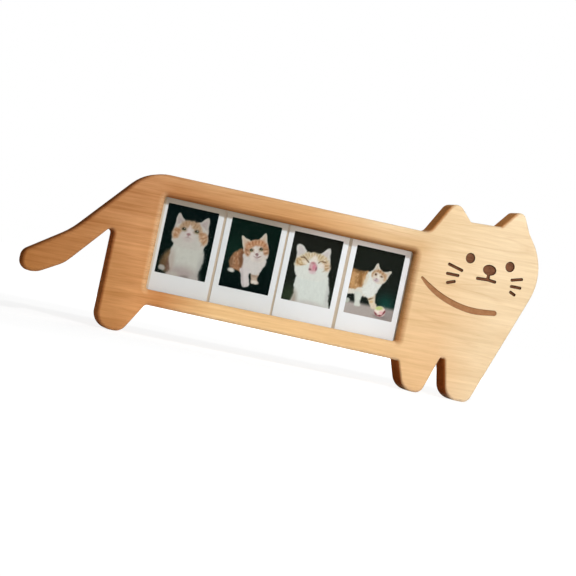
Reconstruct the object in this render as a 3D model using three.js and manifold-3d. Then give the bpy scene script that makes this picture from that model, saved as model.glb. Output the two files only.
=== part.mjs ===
// A cat-shaped wooden photo frame for a row of mini instant-film prints.
// Millimetres. X runs along the cat from tail to head, the front faces -Y and Z is up.
// The cat stands on its three feet. The origin is on the ground under the middle of the whole frame.
import * as THREE from 'three';
import { mergeVertices } from 'three/addons/utils/BufferGeometryUtils.js';
import Module from 'manifold-3d';

const wasm = await Module();
wasm.setup();

// The prints: white cards with a picture, side by side in one row.
const printCount = 4;
const printWidth = 55.8;
const printHeight = 86;
const printThickness = 0.6;
const printGap = 2.6;
const printNudges = [0, -0.2, -0.8, -0.3];
const pictureSideBorder = 5;
const pictureTopBorder = 6.3;
const pictureBottomBorder = 18.3;
const pictureSunk = 0.15;
const printCornerRadius = 0.8;

// The layers behind the window, and the clearances that let them slide in.
const paneThickness = 2;
const backingThickness = 3.7;
const panelThickness = 6;
const layerClearance = 0.3;
const sideClearance = 0.3;

// The window in the board, and the rebate behind it that takes the layers.
const windowSideMargin = 0.5;
const lipOverPrint = 2;
const windowCornerRadius = 2.5;
const windowRoundover = 6.4;
const leastLipEdge = 1;
const rebateStep = 4;
const rebateCornerRadius = 3;

// The board and its outer edges.
const boardThickness = 24;
const frontRoundover = 3;
const rearRoundover = 1.5;
const topRail = 18.7;
const bottomRail = 13.3;
const bellyHeight = 27.5;
const bellyFall = 2.5;
const backRise = 1.2;
const rumpRadius = 39;

// The tail, measured back from the hind leg's heel and down from the top of the back.
const tailReach = 72.5;
const tailRootDrop = 50.6;
const tailBendReach = 34.4;
const tailBendDrop = 63.3;
const tailTipTopDrop = 89.7;
const tailTipBottomDrop = 107.1;
const tailUnderReach = 57;
const tailUnderDrop = 105.4;
const tailBellyReach = 35.9;
const tailBellyDrop = 93.1;
const tailTipRadius = 9;
const tailBendRadius = 70;
const tailUnderRadius = 18;
const tailBellyRadius = 30;
const tailNotchRadius = 3.3;
const rumpCornerReach = 20.7;

// The hind leg.
const rumpWidth = 38;
const hindFootWidth = 23.6;
const hindLegTopWidth = 40.1;
const hindHeelRadius = 14.4;
const hindToeRadius = 11;
const hindLegFillet = 4;

// The forelegs, measured forward from the window and up from the belly.
const forelegStart = 3.5;
const forelegFootStart = 12.2;
const forelegFootWidth = 18.9;
const forelegGapStart = 44.6;
const forelegGapRise = 13;
const forelegGapRadius = 2;
const frontFootStart = 53.9;
const frontFootWidth = 22.8;
const forefootHeelRadius = 14.5;
const forefootToeRadius = 8;
const forelegFillet = 2;

// The head, measured forward from the window, and up or down from the top of the back. The crown
// between the ears rises a little to the front ear, which is measured up from the crown's rear end.
const cheekReach = 125.3;
const cheekDrop = 10.3;
const cheekRadius = 54;
const crownRise = 18.6;
const crownSlope = 1.8;
const rearEarTipRadius = 8.2;
const frontEarTipRadius = 6.3;
const rearEarFootFillet = 8;
const earFillet = 2.5;
const earOuterFillet = 12;
const rearEarStart = 7.6;
const rearEarTip = 27.2;
const rearEarRise = 36.5;
const rearEarEnd = 44.7;
const frontEarStart = 73.1;
const frontEarTip = 90.6;
const frontEarRise = 23.3;
const frontEarEnd = 101.5;
const frontEarEndRise = 1.7;

// The engraved face, measured from the middle of the eyes.
const faceReach = 69.8;
const faceDrop = 13.1;
const faceDepth = 1.4;
const engravingTaper = 0.25;
const eyeSpacing = 38.6;
const eyeHalfWidth = 4.5;
const eyeHalfHeight = 4.8;
const noseOffset = 0.9;
const noseDrop = 6.9;
const noseHalfWidth = 6.5;
const noseHalfHeight = 4.9;
const stemWidth = 3.1;
const mouthOffset = -0.5;
const mouthDrop = 15.6;
const mouthSag = 0.9;
const mouthHalfWidth = 9.8;
const mouthStroke = 2.9;
const whiskerStroke = 2.8;
const strokeEndEasing = 0.42;
const whiskers = [
  [[-39, -9.1], [-23.7, -12.8]],
  [[-39, -17.9], [-26.2, -17.7]],
  [[-37.1, -26.4], [-28.5, -23.2]],
  [[22.4, -11.6], [34, -8.4]],
  [[23, -17], [34.1, -16.7]],
  [[23.5, -21.7], [30, -24.4]],
];

// The long chin curve from the chest to under the chin: points on its middle line, with half its width.
const chinDepth = 0.9;
const chinLine = [
  [-60, -26.4, 1.2],
  [-52.1, -32.2, 2.15],
  [-39, -39.1, 2.65],
  [-20.7, -44.5, 2.8],
  [-5.1, -46, 2.85],
  [13.6, -44.1, 2.45],
];

// The swivel clips that hold the back panel in, and their screws.
const buttonThickness = 1.2;
const buttonReach = 14;
const buttonPivotRadius = 4.6;
const buttonTipRadius = 3.6;
const buttonHoleRadius = 1.9;
const buttonFromRebate = 5.2;
const buttonSpread = 132;
const buttonEdgeRound = 0.35;
const screwShankRadius = 1.4;
const screwHeadRadius = 3.3;
const screwHeadHeight = 1.9;
const screwLength = 11;
const screwPointLength = 2.5;
const recessWidth = 0.9;
const recessSpan = 3.2;
const recessDepth = 0.9;

// The two wall hangers and their nails.
const hangerLength = 30;
const hangerWidth = 7.4;
const hangerThickness = 0.7;
const hangerRise = 1.7;
const hangerEndLength = 6;
const hangerRampLength = 1.6;
const hangerToothDepth = 1.6;
const hangerToothPitch = 2.4;
const hangerDrop = 29.5;
const hangerFromRebate = 19;
const nailShankRadius = 0.75;
const nailHeadRadius = 1.9;
const nailHeadHeight = 0.7;
const nailLength = 9;
const nailPointLength = 1.5;

// The straight rim below the dome of a round head, as a share of the head's height.
const headRimShare = 0.35;

// Running clearances of the hardware, and how far cutters stand out of what they cut.
const hardwareClearance = 0.3;
const holeClearance = 0.3;
const cutOverrun = 0.5;

// How finely round forms are divided: the least degrees per step on outlines, how far a flat side may
// fall short of a small arc, and the steps on rounded edges.
const outlineStep = 7;
const buttonArcStep = 15;
const arcTolerance = 0.02;
const mostArcOfSide = 0.97;
const frontEdgeSteps = 5;
const rearEdgeSteps = 3;
const windowEdgeSteps = 7;
const screwSides = 16;
const nailSides = 12;
const eyeSides = 20;
const noseSides = 24;
const chinSteps = 22;
const strokeCapSteps = 8;
const domeSteps = 4;

// What follows from the sizes above.
const windowWidth = printCount * printWidth + (printCount - 1) * printGap + 2 * windowSideMargin;
const windowHeight = printHeight - 2 * lipOverPrint;
const windowBottom = bellyHeight + bottomRail;
const windowTop = windowBottom + windowHeight;
const windowMiddle = (windowBottom + windowTop) / 2;
const bodyTop = windowTop + topRail;
const windowLeft = -windowWidth / 2;
const windowRight = windowWidth / 2;
const rebateWidth = windowWidth + 2 * rebateStep;
const rebateHeight = windowHeight + 2 * rebateStep;
const layers = [paneThickness, printThickness, backingThickness, panelThickness];
const layersDepth = layers.reduce((depth, thickness) => depth + thickness + layerClearance, layerClearance);
const lipThickness = boardThickness - layersDepth;
const windowRound = Math.min(windowRoundover, lipThickness - leastLipEdge);
const smallestCorner = Math.min(tailTipRadius, hindToeRadius, forefootToeRadius, frontEarTipRadius);
const frontRound = Math.min(frontRoundover, smallestCorner);
const rearRound = Math.min(rearRoundover, smallestCorner);
const hind = windowLeft - rumpWidth;
const crown = bodyTop + crownRise;
const faceX = windowRight + faceReach;
const faceZ = bodyTop - faceDrop;
const hangerZ = bodyTop - hangerDrop;

const materials = {
  beech: material(0xdcab72, 0.55, 0),
  acrylic: material(0xf2f6f7, 0.08, 0),
  card: material(0xe6e6e4, 0.5, 0),
  kraft: material(0xb9a083, 0.85, 0),
  fibreboard: material(0xb08e68, 0.8, 0),
  steel: material(0xb9bbbd, 0.35, 1),
  brass: material(0xc9a45c, 0.35, 1),
};
materials.acrylic.transparent = true;
materials.acrylic.opacity = 0.25;

function material(color, roughness, metalness) {
  return new THREE.MeshStandardMaterial({ color, roughness, metalness });
}

// A ring is a closed line of points in the XZ plane, each with its outward normal, so that the same
// ring can be drawn inside or outside itself. It runs anticlockwise seen from the front.
function ringPoint(x, z, nx, nz) {
  return { x, z, nx, nz };
}

// The sides that meet at a corner, as directions, and how far the outline turns there.
function cornerTurn(corners, i) {
  const [x, z] = corners[i];
  const [px, pz] = corners[(i + corners.length - 1) % corners.length];
  const [nx, nz] = corners[(i + 1) % corners.length];
  const before = new THREE.Vector2(x - px, z - pz).normalize();
  const after = new THREE.Vector2(nx - x, nz - z).normalize();
  return { before, after, turn: Math.atan2(before.cross(after), before.dot(after)) };
}

// The length of each corner's arc tangents, shortened where two arcs on one side would meet.
function cornerTangents(corners) {
  const wanted = corners.map((corner, i) => corner[2] * Math.tan(Math.abs(cornerTurn(corners, i).turn) / 2));
  const shares = corners.map(([x, z], i) => {
    const j = (i + 1) % corners.length;
    const side = Math.hypot(corners[j][0] - x, corners[j][1] - z);
    return Math.min(1, (mostArcOfSide * side) / (wanted[i] + wanted[j]));
  });
  return wanted.map((length, i) => length * Math.min(shares[i], shares.at(i - 1)));
}

// Rounds a corner: the arc's points between its two tangent points, with their normals.
function filletArc([x, z], { before, after, turn }, tangent) {
  const side = Math.sign(turn);
  const radius = tangent / Math.tan(Math.abs(turn) / 2);
  const startNormal = new THREE.Vector2(before.y, -before.x);
  const centre = new THREE.Vector2(x, z)
    .addScaledVector(before, -tangent)
    .addScaledVector(startNormal, -side * radius);
  const finest = THREE.MathUtils.degToRad(outlineStep);
  const step = Math.max(finest, 2 * Math.acos(1 - Math.min(1, arcTolerance / radius)));
  const steps = Math.max(1, Math.ceil(Math.abs(turn) / step));
  const points = [];
  for (let i = 0; i <= steps; i += 1) {
    const normal = startNormal.clone().rotateAround(new THREE.Vector2(), (turn * i) / steps);
    const at = centre.clone().addScaledVector(normal, side * radius);
    points.push(ringPoint(at.x, at.y, normal.x, normal.y));
  }
  return points;
}

function roundedRing(corners) {
  const tangents = cornerTangents(corners);
  return corners.flatMap((corner, i) => filletArc(corner, cornerTurn(corners, i), tangents[i]));
}

function rectangleRing(width, height, radius, centreX = 0, centreZ = 0) {
  const [x, z] = [width / 2, height / 2];
  const signs = [[-1, -1], [1, -1], [1, 1], [-1, 1]];
  return roundedRing(signs.map(([i, j]) => [centreX + i * x, centreZ + j * z, radius]));
}

function ellipseRing(centreX, centreZ, halfWidth, halfHeight, sides) {
  return Array.from({ length: sides }, (unused, i) => {
    const angle = (2 * Math.PI * i) / sides;
    const normal = new THREE.Vector2(Math.cos(angle) / halfWidth, Math.sin(angle) / halfHeight).normalize();
    const x = centreX + halfWidth * Math.cos(angle);
    const z = centreZ + halfHeight * Math.sin(angle);
    return ringPoint(x, z, normal.x, normal.y);
  });
}

function offsetRing(ring, distance) {
  return ring.map((p) => ringPoint(p.x + distance * p.nx, p.z + distance * p.nz, p.nx, p.nz));
}

// A skin gathers triangles that close into one body: walls between rings, and flat caps.
class Skin {
  constructor() {
    this.positions = [];
  }

  triangle(a, b, c) {
    this.positions.push(...a, ...b, ...c);
  }

  // The wall between two like rings at depths y0 and y1. Its face points away from the rings' middle
  // when y1 is the deeper one, and towards it when the depths are given the other way round.
  wall(ring0, y0, ring1, y1) {
    ring0.forEach((p, i) => {
      const j = (i + 1) % ring0.length;
      const [q, s, t] = [ring0[j], ring1[i], ring1[j]];
      this.triangle([p.x, y0, p.z], [t.x, y1, t.z], [q.x, y0, q.z]);
      this.triangle([p.x, y0, p.z], [s.x, y1, s.z], [t.x, y1, t.z]);
    });
  }

  // A flat face inside a ring, less its holes. It faces the front, or the rear when facing is 1.
  cap(ring, y, facing, holes = []) {
    const flat = (points) => points.map((p) => new THREE.Vector2(p.x, p.z));
    const loops = [flat(ring), ...holes.map(flat)];
    const all = loops.flat();
    THREE.ShapeUtils.triangulateShape(loops[0], loops.slice(1)).forEach(([i, j, k]) => {
      const [a, b, c] = [all[i], all[j], all[k]];
      const area = b.clone().sub(a).cross(c.clone().sub(a));
      const order = Math.sign(area) === -facing ? [a, b, c] : [a, c, b];
      this.triangle(...order.map((p) => [p.x, y, p.y]));
    });
  }

  geometry() {
    const geometry = new THREE.BufferGeometry();
    geometry.setAttribute('position', new THREE.Float32BufferAttribute(this.positions, 3));
    return mergeVertices(geometry, 1e-5);
  }
}

// A flat plate with the ring's outline, from the front face y0 to the rear face y1, with its edges
// eased by a small round and with holes right through.
function plate(ring, y0, y1, edge = 0, holes = []) {
  const skin = new Skin();
  const inner = edge > 0 ? offsetRing(ring, -edge) : ring;
  skin.cap(inner, y0, -1, holes);
  if (edge > 0) skin.wall(inner, y0, ring, y0 + edge);
  skin.wall(ring, y0 + edge, ring, y1 - edge);
  if (edge > 0) skin.wall(ring, y1 - edge, inner, y1);
  skin.cap(inner, y1, 1, holes);
  holes.forEach((hole) => skin.wall(hole, y1, hole, y0));
  return skin.geometry();
}

function toSolid(geometry) {
  const bare = geometry.clone();
  bare.deleteAttribute('normal');
  bare.deleteAttribute('uv');
  const merged = mergeVertices(bare, 1e-5);
  const vertProperties = new Float32Array(merged.getAttribute('position').array);
  const triVerts = new Uint32Array(merged.getIndex().array);
  return new wasm.Manifold(new wasm.Mesh({ numProp: 3, vertProperties, triVerts }));
}

function toGeometry(solid) {
  const { vertProperties, triVerts } = solid.getMesh();
  const geometry = new THREE.BufferGeometry();
  geometry.setAttribute('position', new THREE.BufferAttribute(vertProperties, 3));
  geometry.setIndex(new THREE.BufferAttribute(triVerts, 1));
  return geometry;
}

function cut(geometry, cutters) {
  const solid = cutters.reduce((left, cutter) => left.subtract(toSolid(cutter)), toSolid(geometry));
  return toGeometry(solid);
}

// The corners of the cat's outline as x, z and corner radius, anticlockwise from the rump.
function tailCorners() {
  return [
    [hind + rumpCornerReach, bodyTop, rumpRadius],
    [hind - tailBendReach, bodyTop - tailBendDrop, tailBendRadius],
    [hind - tailReach, bodyTop - tailTipTopDrop, tailTipRadius],
    [hind - tailReach, bodyTop - tailTipBottomDrop, tailTipRadius],
    [hind - tailUnderReach, bodyTop - tailUnderDrop, tailUnderRadius],
    [hind - tailBellyReach, bodyTop - tailBellyDrop, tailBellyRadius],
    [hind, bodyTop - tailRootDrop, tailNotchRadius],
  ];
}

function hindLegCorners() {
  return [
    [hind, 0, hindHeelRadius],
    [hind + hindFootWidth, 0, hindToeRadius],
    [hind + hindLegTopWidth, bellyHeight, hindLegFillet],
  ];
}

function forelegCorners() {
  return [
    [windowRight + forelegStart, bellyHeight - bellyFall, forelegFillet],
    [windowRight + forelegFootStart, 0, forefootHeelRadius],
    [windowRight + forelegFootStart + forelegFootWidth, 0, forefootToeRadius],
    [windowRight + forelegGapStart, bellyHeight + forelegGapRise, forelegGapRadius],
    [windowRight + frontFootStart, 0, forefootHeelRadius],
    [windowRight + frontFootStart + frontFootWidth, 0, forefootToeRadius],
  ];
}

function headCorners() {
  return [
    [windowRight + cheekReach, bodyTop - cheekDrop, cheekRadius],
    [windowRight + frontEarEnd, crown + frontEarEndRise, earOuterFillet],
    [windowRight + frontEarTip, crown + frontEarRise, frontEarTipRadius],
    [windowRight + frontEarStart, crown + crownSlope, earFillet],
    [windowRight + rearEarEnd, crown, earFillet],
    [windowRight + rearEarTip, bodyTop + rearEarRise, rearEarTipRadius],
    [windowRight + rearEarStart, bodyTop + backRise, rearEarFootFillet],
  ];
}

function catRing() {
  return roundedRing([...tailCorners(), ...hindLegCorners(), ...forelegCorners(), ...headCorners()]);
}

// The inset and the depth of each ring on a rounded edge, from the flat face to the side.
function roundSteps(radius, steps) {
  return Array.from({ length: steps + 1 }, (unused, i) => {
    const angle = (Math.PI / 2) * (i / steps);
    return [radius * (1 - Math.sin(angle)), radius * (1 - Math.cos(angle))];
  });
}

// The outside of the board: the rounded front edge, the side and the rounded rear edge.
function boardSide(skin, outline) {
  const front = roundSteps(frontRound, frontEdgeSteps);
  const rear = roundSteps(rearRound, rearEdgeSteps).reverse();
  const levels = [
    ...front.map(([inset, depth]) => [offsetRing(outline, -inset), depth]),
    ...rear.map(([inset, depth]) => [offsetRing(outline, -inset), boardThickness - depth]),
  ];
  levels.slice(1).forEach(([ring, depth], i) => skin.wall(...levels[i], ring, depth));
  return [levels[0][0], levels.at(-1)[0]];
}

// The window's edge from the flat front down its round, and the straight lip behind it.
function windowSide(skin, opening) {
  const levels = roundSteps(windowRound, windowEdgeSteps)
    .map(([inset, depth]) => [offsetRing(opening, inset), depth]);
  levels.push([opening, lipThickness]);
  levels.slice(1).forEach(([ring, depth], i) => skin.wall(ring, depth, ...levels[i]));
  return levels[0][0];
}

// The outline of a stroke with round ends along a line of points, with half its width at each.
function strokeRing(line, halfWidths) {
  const last = line.length - 1;
  const along = line.map((p, i) => (
    line[Math.min(i + 1, last)].clone().sub(line[Math.max(i - 1, 0)]).normalize()
  ));
  const edge = (i, degrees) => {
    const normal = along[i].clone().rotateAround(new THREE.Vector2(), THREE.MathUtils.degToRad(degrees));
    const at = line[i].clone().addScaledVector(normal, halfWidths[i]);
    return ringPoint(at.x, at.y, normal.x, normal.y);
  };
  const capStep = 180 / strokeCapSteps;
  const cap = Array.from({ length: strokeCapSteps - 1 }, (unused, i) => -90 + (i + 1) * capStep);
  return [
    ...line.map((unused, i) => edge(i, -90)),
    ...cap.map((degrees) => edge(last, degrees)),
    ...line.map((unused, i) => edge(last - i, 90)),
    ...cap.map((degrees) => edge(0, degrees + 180)),
  ];
}

// A straight stroke with eased ends, such as a whisker.
function barRing([x0, z0], [x1, z1], width) {
  const along = new THREE.Vector2(x1 - x0, z1 - z0).normalize().multiplyScalar(width / 2);
  const across = new THREE.Vector2(along.y, -along.x);
  const radius = width * strokeEndEasing;
  return roundedRing([
    [x0 + across.x, z0 + across.y, radius],
    [x1 + across.x, z1 + across.y, radius],
    [x1 - across.x, z1 - across.y, radius],
    [x0 - across.x, z0 - across.y, radius],
  ]);
}

// A cutter for an engraved mark: it narrows a little from the board's face to its floor.
function engraving(ring, depth) {
  const skin = new Skin();
  const slope = engravingTaper / depth;
  const top = offsetRing(ring, slope * cutOverrun);
  const floor = offsetRing(ring, -engravingTaper);
  skin.cap(top, -cutOverrun, -1);
  skin.wall(top, -cutOverrun, floor, depth);
  skin.cap(floor, depth, 1);
  return skin.geometry();
}

function eyeCutters() {
  return [-1, 1].map((side) => {
    const x = faceX + (side * eyeSpacing) / 2;
    return engraving(ellipseRing(x, faceZ, eyeHalfWidth, eyeHalfHeight, eyeSides), faceDepth);
  });
}

function muzzleCutters() {
  const x = faceX + noseOffset;
  const noseZ = faceZ - noseDrop;
  const mouthZ = faceZ - mouthDrop;
  const nose = ellipseRing(x, noseZ, noseHalfWidth, noseHalfHeight, noseSides);
  const flare = stemWidth / 2 + mouthStroke / 2;
  const easing = (mouthStroke / 2) * strokeEndEasing;
  const stem = roundedRing([
    [x - stemWidth / 2, noseZ, easing],
    [x - stemWidth / 2, mouthZ + mouthStroke / 2, mouthStroke / 2],
    [x - flare, mouthZ, easing],
    [x + flare, mouthZ, easing],
    [x + stemWidth / 2, mouthZ + mouthStroke / 2, mouthStroke / 2],
    [x + stemWidth / 2, noseZ, easing],
  ]);
  const lips = [-1, 1].map((side) => {
    const corner = [faceX + mouthOffset + side * mouthHalfWidth, mouthZ - mouthSag];
    const middle = [x - side * mouthStroke / 2, mouthZ];
    return side < 0 ? barRing(corner, middle, mouthStroke) : barRing(middle, corner, mouthStroke);
  });
  return [nose, stem, ...lips].map((ring) => engraving(ring, faceDepth));
}

function whiskerCutters() {
  const onFace = ([x, z]) => [faceX + x, faceZ + z];
  return whiskers.map(([start, end]) => (
    engraving(barRing(onFace(start), onFace(end), whiskerStroke), faceDepth)
  ));
}

function chinCutter() {
  const curve = new THREE.CatmullRomCurve3(chinLine.map((point) => new THREE.Vector3(...point)));
  const points = curve.getSpacedPoints(chinSteps);
  const line = points.map((p) => new THREE.Vector2(faceX + p.x, faceZ + p.y));
  return engraving(strokeRing(line, points.map((p) => p.z)), chinDepth);
}

// Where each turn button's screw goes, and the direction in degrees that the button points at rest,
// towards the middle of the back panel. Zero points to +X.
function buttonPlaces() {
  const top = windowTop + rebateStep + buttonFromRebate;
  const bottom = windowBottom - rebateStep - buttonFromRebate;
  const side = windowRight + rebateStep + buttonFromRebate;
  const half = buttonSpread / 2;
  return [
    [-half, top, -90],
    [half, top, -90],
    [side, windowMiddle, 180],
    [half, bottom, 90],
    [-half, bottom, 90],
    [-side, windowMiddle, 0],
  ];
}

function hangerPlaces() {
  const x = windowRight + rebateStep + hangerFromRebate;
  return [-x, x];
}

function nailPlaces() {
  const reach = (hangerLength - hangerEndLength) / 2;
  return hangerPlaces().flatMap((x) => [x - reach, x + reach]);
}

// A blind hole in the rear of the board for a screw or nail.
function pilotHole(x, z, radius, depth, sides) {
  const ring = ellipseRing(x, z, radius, radius, sides);
  return plate(ring, boardThickness - depth, boardThickness + cutOverrun);
}

function pilotHoles() {
  const inBoard = (length) => length - buttonThickness - 2 * hardwareClearance + holeClearance;
  const screwHoles = buttonPlaces().map(([x, z]) => (
    pilotHole(x, z, screwShankRadius + holeClearance, inBoard(screwLength), screwSides)
  ));
  const nailDepth = nailLength - hangerThickness - 2 * hardwareClearance + holeClearance;
  const nailHoles = nailPlaces().map((x) => (
    pilotHole(x, hangerZ, nailShankRadius + holeClearance, nailDepth, nailSides)
  ));
  return [...screwHoles, ...nailHoles];
}

function catBoard() {
  const skin = new Skin();
  const opening = rectangleRing(windowWidth, windowHeight, windowCornerRadius, 0, windowMiddle);
  const rebate = rectangleRing(rebateWidth, rebateHeight, rebateCornerRadius, 0, windowMiddle);
  const [frontRing, rearRing] = boardSide(skin, catRing());
  const flareRing = windowSide(skin, opening);
  skin.cap(frontRing, 0, -1, [flareRing]);
  skin.cap(rebate, lipThickness, 1, [opening]);
  skin.wall(rebate, boardThickness, rebate, lipThickness);
  skin.cap(rearRing, boardThickness, 1, [rebate]);
  const face = [...eyeCutters(), ...muzzleCutters(), ...whiskerCutters(), chinCutter()];
  return cut(skin.geometry(), [...face, ...pilotHoles()]);
}

function layerRing() {
  const width = rebateWidth - 2 * sideClearance;
  const height = rebateHeight - 2 * sideClearance;
  return rectangleRing(width, height, rebateCornerRadius, 0, windowMiddle);
}

function windowPane() {
  const front = lipThickness + layerClearance;
  return plate(layerRing(), front, front + paneThickness);
}

// A print: a white card whose picture lies a hair below the border.
function photoPrint(index) {
  const skin = new Skin();
  const pitch = printWidth + printGap;
  const x = (index - (printCount - 1) / 2) * pitch + printNudges[index % printNudges.length];
  const front = lipThickness + paneThickness + 2 * layerClearance;
  const pictureWidth = printWidth - 2 * pictureSideBorder;
  const pictureHeight = printHeight - pictureTopBorder - pictureBottomBorder;
  const pictureZ = windowMiddle + (pictureBottomBorder - pictureTopBorder) / 2;
  const card = rectangleRing(printWidth, printHeight, printCornerRadius, x, windowMiddle);
  const picture = rectangleRing(pictureWidth, pictureHeight, printCornerRadius / 2, x, pictureZ);
  skin.cap(card, front, -1, [picture]);
  skin.wall(picture, front + pictureSunk, picture, front);
  skin.cap(picture, front + pictureSunk, -1);
  skin.wall(card, front, card, front + printThickness);
  skin.cap(card, front + printThickness, 1);
  return skin.geometry();
}

// The corrugated card that fills the rebate and presses the prints flat against the pane.
function backingCard() {
  const rear = boardThickness - panelThickness - 2 * layerClearance;
  return plate(layerRing(), rear - backingThickness, rear);
}

function backPanel() {
  const front = boardThickness - layerClearance - panelThickness;
  return plate(layerRing(), front, front + panelThickness);
}

// A turn button lies along +X from its pivot at the origin: a strip that narrows to its round tip.
function turnButton() {
  const lean = Math.asin((buttonPivotRadius - buttonTipRadius) / buttonReach);
  const arc = (x, radius, from, to) => {
    const steps = Math.ceil((to - from) / THREE.MathUtils.degToRad(buttonArcStep));
    return Array.from({ length: steps + 1 }, (unused, i) => {
      const angle = from + ((to - from) * i) / steps;
      const [nx, nz] = [Math.cos(angle), Math.sin(angle)];
      return ringPoint(x + radius * nx, radius * nz, nx, nz);
    });
  };
  const bend = Math.PI / 2 - lean;
  const outline = [
    ...arc(buttonReach, buttonTipRadius, -bend, bend),
    ...arc(0, buttonPivotRadius, bend, 2 * Math.PI - bend),
  ];
  const hole = ellipseRing(0, 0, buttonHoleRadius, buttonHoleRadius, screwSides);
  return plate(outline, 0, buttonThickness, buttonEdgeRound, [hole]);
}

// A round-head screw or nail along Y: its head's underside is at the origin and its point at -Y.
function roundHeadProfile(shankRadius, headRadius, headHeight, length, pointLength) {
  const profile = [[0, -length], [shankRadius, pointLength - length], [shankRadius, 0], [headRadius, 0]];
  const rim = headHeight * headRimShare;
  for (let i = 0; i < domeSteps; i += 1) {
    const angle = (Math.PI / 2) * (i / domeSteps);
    profile.push([headRadius * Math.cos(angle), rim + (headHeight - rim) * Math.sin(angle)]);
  }
  profile.push([0, headHeight]);
  return profile.map(([x, y]) => new THREE.Vector2(x, y));
}

function turnButtonScrew() {
  const profile = roundHeadProfile(
    screwShankRadius, screwHeadRadius, screwHeadHeight, screwLength, screwPointLength,
  );
  const body = new THREE.LatheGeometry(profile, screwSides);
  const height = recessDepth + cutOverrun;
  const place = (slot) => slot.translate(0, screwHeadHeight - recessDepth + height / 2, 0);
  const slots = [[recessSpan, recessWidth], [recessWidth, recessSpan]]
    .map(([x, z]) => place(new THREE.BoxGeometry(x, height, z)));
  return cut(body, slots);
}

function hangerNail() {
  const profile = roundHeadProfile(
    nailShankRadius, nailHeadRadius, nailHeadHeight, nailLength, nailPointLength,
  );
  const geometry = new THREE.LatheGeometry(profile, nailSides);
  return toGeometry(toSolid(geometry));
}

// A sawtooth hanger: a strip with flat nailed ends and a raised middle whose lower edge has teeth.
function sawtoothHanger() {
  const half = hangerLength / 2;
  const rampStart = half - hangerEndLength;
  const flatStart = rampStart - hangerRampLength;
  const teeth = 2 * Math.floor(flatStart / hangerToothPitch);
  const comb = Array.from({ length: 2 * teeth + 1 }, (unused, i) => {
    const x = ((i - teeth) * hangerToothPitch) / 2;
    return [x, hangerRise, i % 2 ? hangerToothDepth : 0];
  });
  const stations = [
    [-half, 0, 0], [-rampStart, 0, 0], [-flatStart, hangerRise, 0], ...comb,
    [flatStart, hangerRise, 0], [rampStart, 0, 0], [half, 0, 0],
  ];
  const lower = stations.map(([x, y, bite]) => [x, y, -hangerWidth / 2 + bite]);
  const upper = stations.map(([x, y]) => [x, y, hangerWidth / 2]);
  const strip = stripSkin(lower, upper, hangerThickness);
  const reach = (hangerLength - hangerEndLength) / 2;
  const radius = nailShankRadius + holeClearance;
  const holes = [-reach, reach].map((x) => (
    plate(ellipseRing(x, 0, radius, radius, nailSides), -cutOverrun, hangerThickness + cutOverrun)
  ));
  return cut(strip, holes);
}

// A bent strip of even thickness between a lower and an upper edge line.
function stripSkin(lower, upper, thickness) {
  const skin = new Skin();
  const back = ([x, y, z]) => [x, y + thickness, z];
  const quad = (a, b, c, d) => {
    skin.triangle(a, b, c);
    skin.triangle(a, c, d);
  };
  for (let i = 0; i + 1 < lower.length; i += 1) {
    const [a, b, c, d] = [lower[i], lower[i + 1], upper[i + 1], upper[i]];
    quad(a, b, c, d);
    quad(back(a), back(d), back(c), back(b));
    quad(a, back(a), back(b), b);
    quad(d, c, back(c), back(d));
  }
  const [first, last] = [0, lower.length - 1];
  quad(lower[first], upper[first], back(upper[first]), back(lower[first]));
  quad(lower[last], back(lower[last]), back(upper[last]), upper[last]);
  return skin.geometry();
}

function node(name, geometry, look, x = 0, y = 0, z = 0) {
  const mesh = new THREE.Mesh(geometry, look);
  mesh.name = name;
  mesh.position.set(x, y, z);
  geometry.computeVertexNormals();
  return mesh;
}

function addButtons(group) {
  const underside = boardThickness + hardwareClearance;
  const headSeat = underside + buttonThickness + hardwareClearance;
  buttonPlaces().forEach(([x, z, degrees], i) => {
    const button = node(`turn_button_${i + 1}`, turnButton(), materials.steel, x, underside, z);
    button.rotation.y = -THREE.MathUtils.degToRad(degrees);
    group.add(button);
    group.add(node(`turn_button_screw_${i + 1}`, turnButtonScrew(), materials.brass, x, headSeat, z));
  });
}

function addHangers(group) {
  const underside = boardThickness + hardwareClearance;
  const headSeat = underside + hangerThickness + hardwareClearance;
  hangerPlaces().forEach((x, i) => {
    group.add(node(`sawtooth_hanger_${i + 1}`, sawtoothHanger(), materials.brass, x, underside, hangerZ));
  });
  nailPlaces().forEach((x, i) => {
    group.add(node(`hanger_nail_${i + 1}`, hangerNail(), materials.steel, x, headSeat, hangerZ));
  });
}

// The frame's middle: halfway along the cat's outline, and halfway from its front to its hardware.
function frameMiddle() {
  const xs = catRing().map((p) => p.x);
  const screwTop = 2 * hardwareClearance + buttonThickness + screwHeadHeight;
  const hangerTop = hardwareClearance + hangerRise + hangerThickness;
  const depth = boardThickness + Math.max(screwTop, hangerTop);
  return [(Math.min(...xs) + Math.max(...xs)) / 2, depth / 2];
}

function catPhotoFrame() {
  const group = new THREE.Group();
  const [middleX, middleY] = frameMiddle();
  group.position.set(-middleX, -middleY, 0);
  group.add(node('cat_board', catBoard(), materials.beech));
  group.add(node('window_pane', windowPane(), materials.acrylic));
  for (let i = 0; i < printCount; i += 1) {
    group.add(node(`photo_print_${i + 1}`, photoPrint(i), materials.card));
  }
  group.add(node('backing_card', backingCard(), materials.kraft));
  group.add(node('back_panel', backPanel(), materials.fibreboard));
  addButtons(group);
  addHangers(group);
  return group;
}

const group = catPhotoFrame();

export default group;
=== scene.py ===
import math

import bmesh
import bpy
import numpy as np
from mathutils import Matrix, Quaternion, Vector


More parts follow.
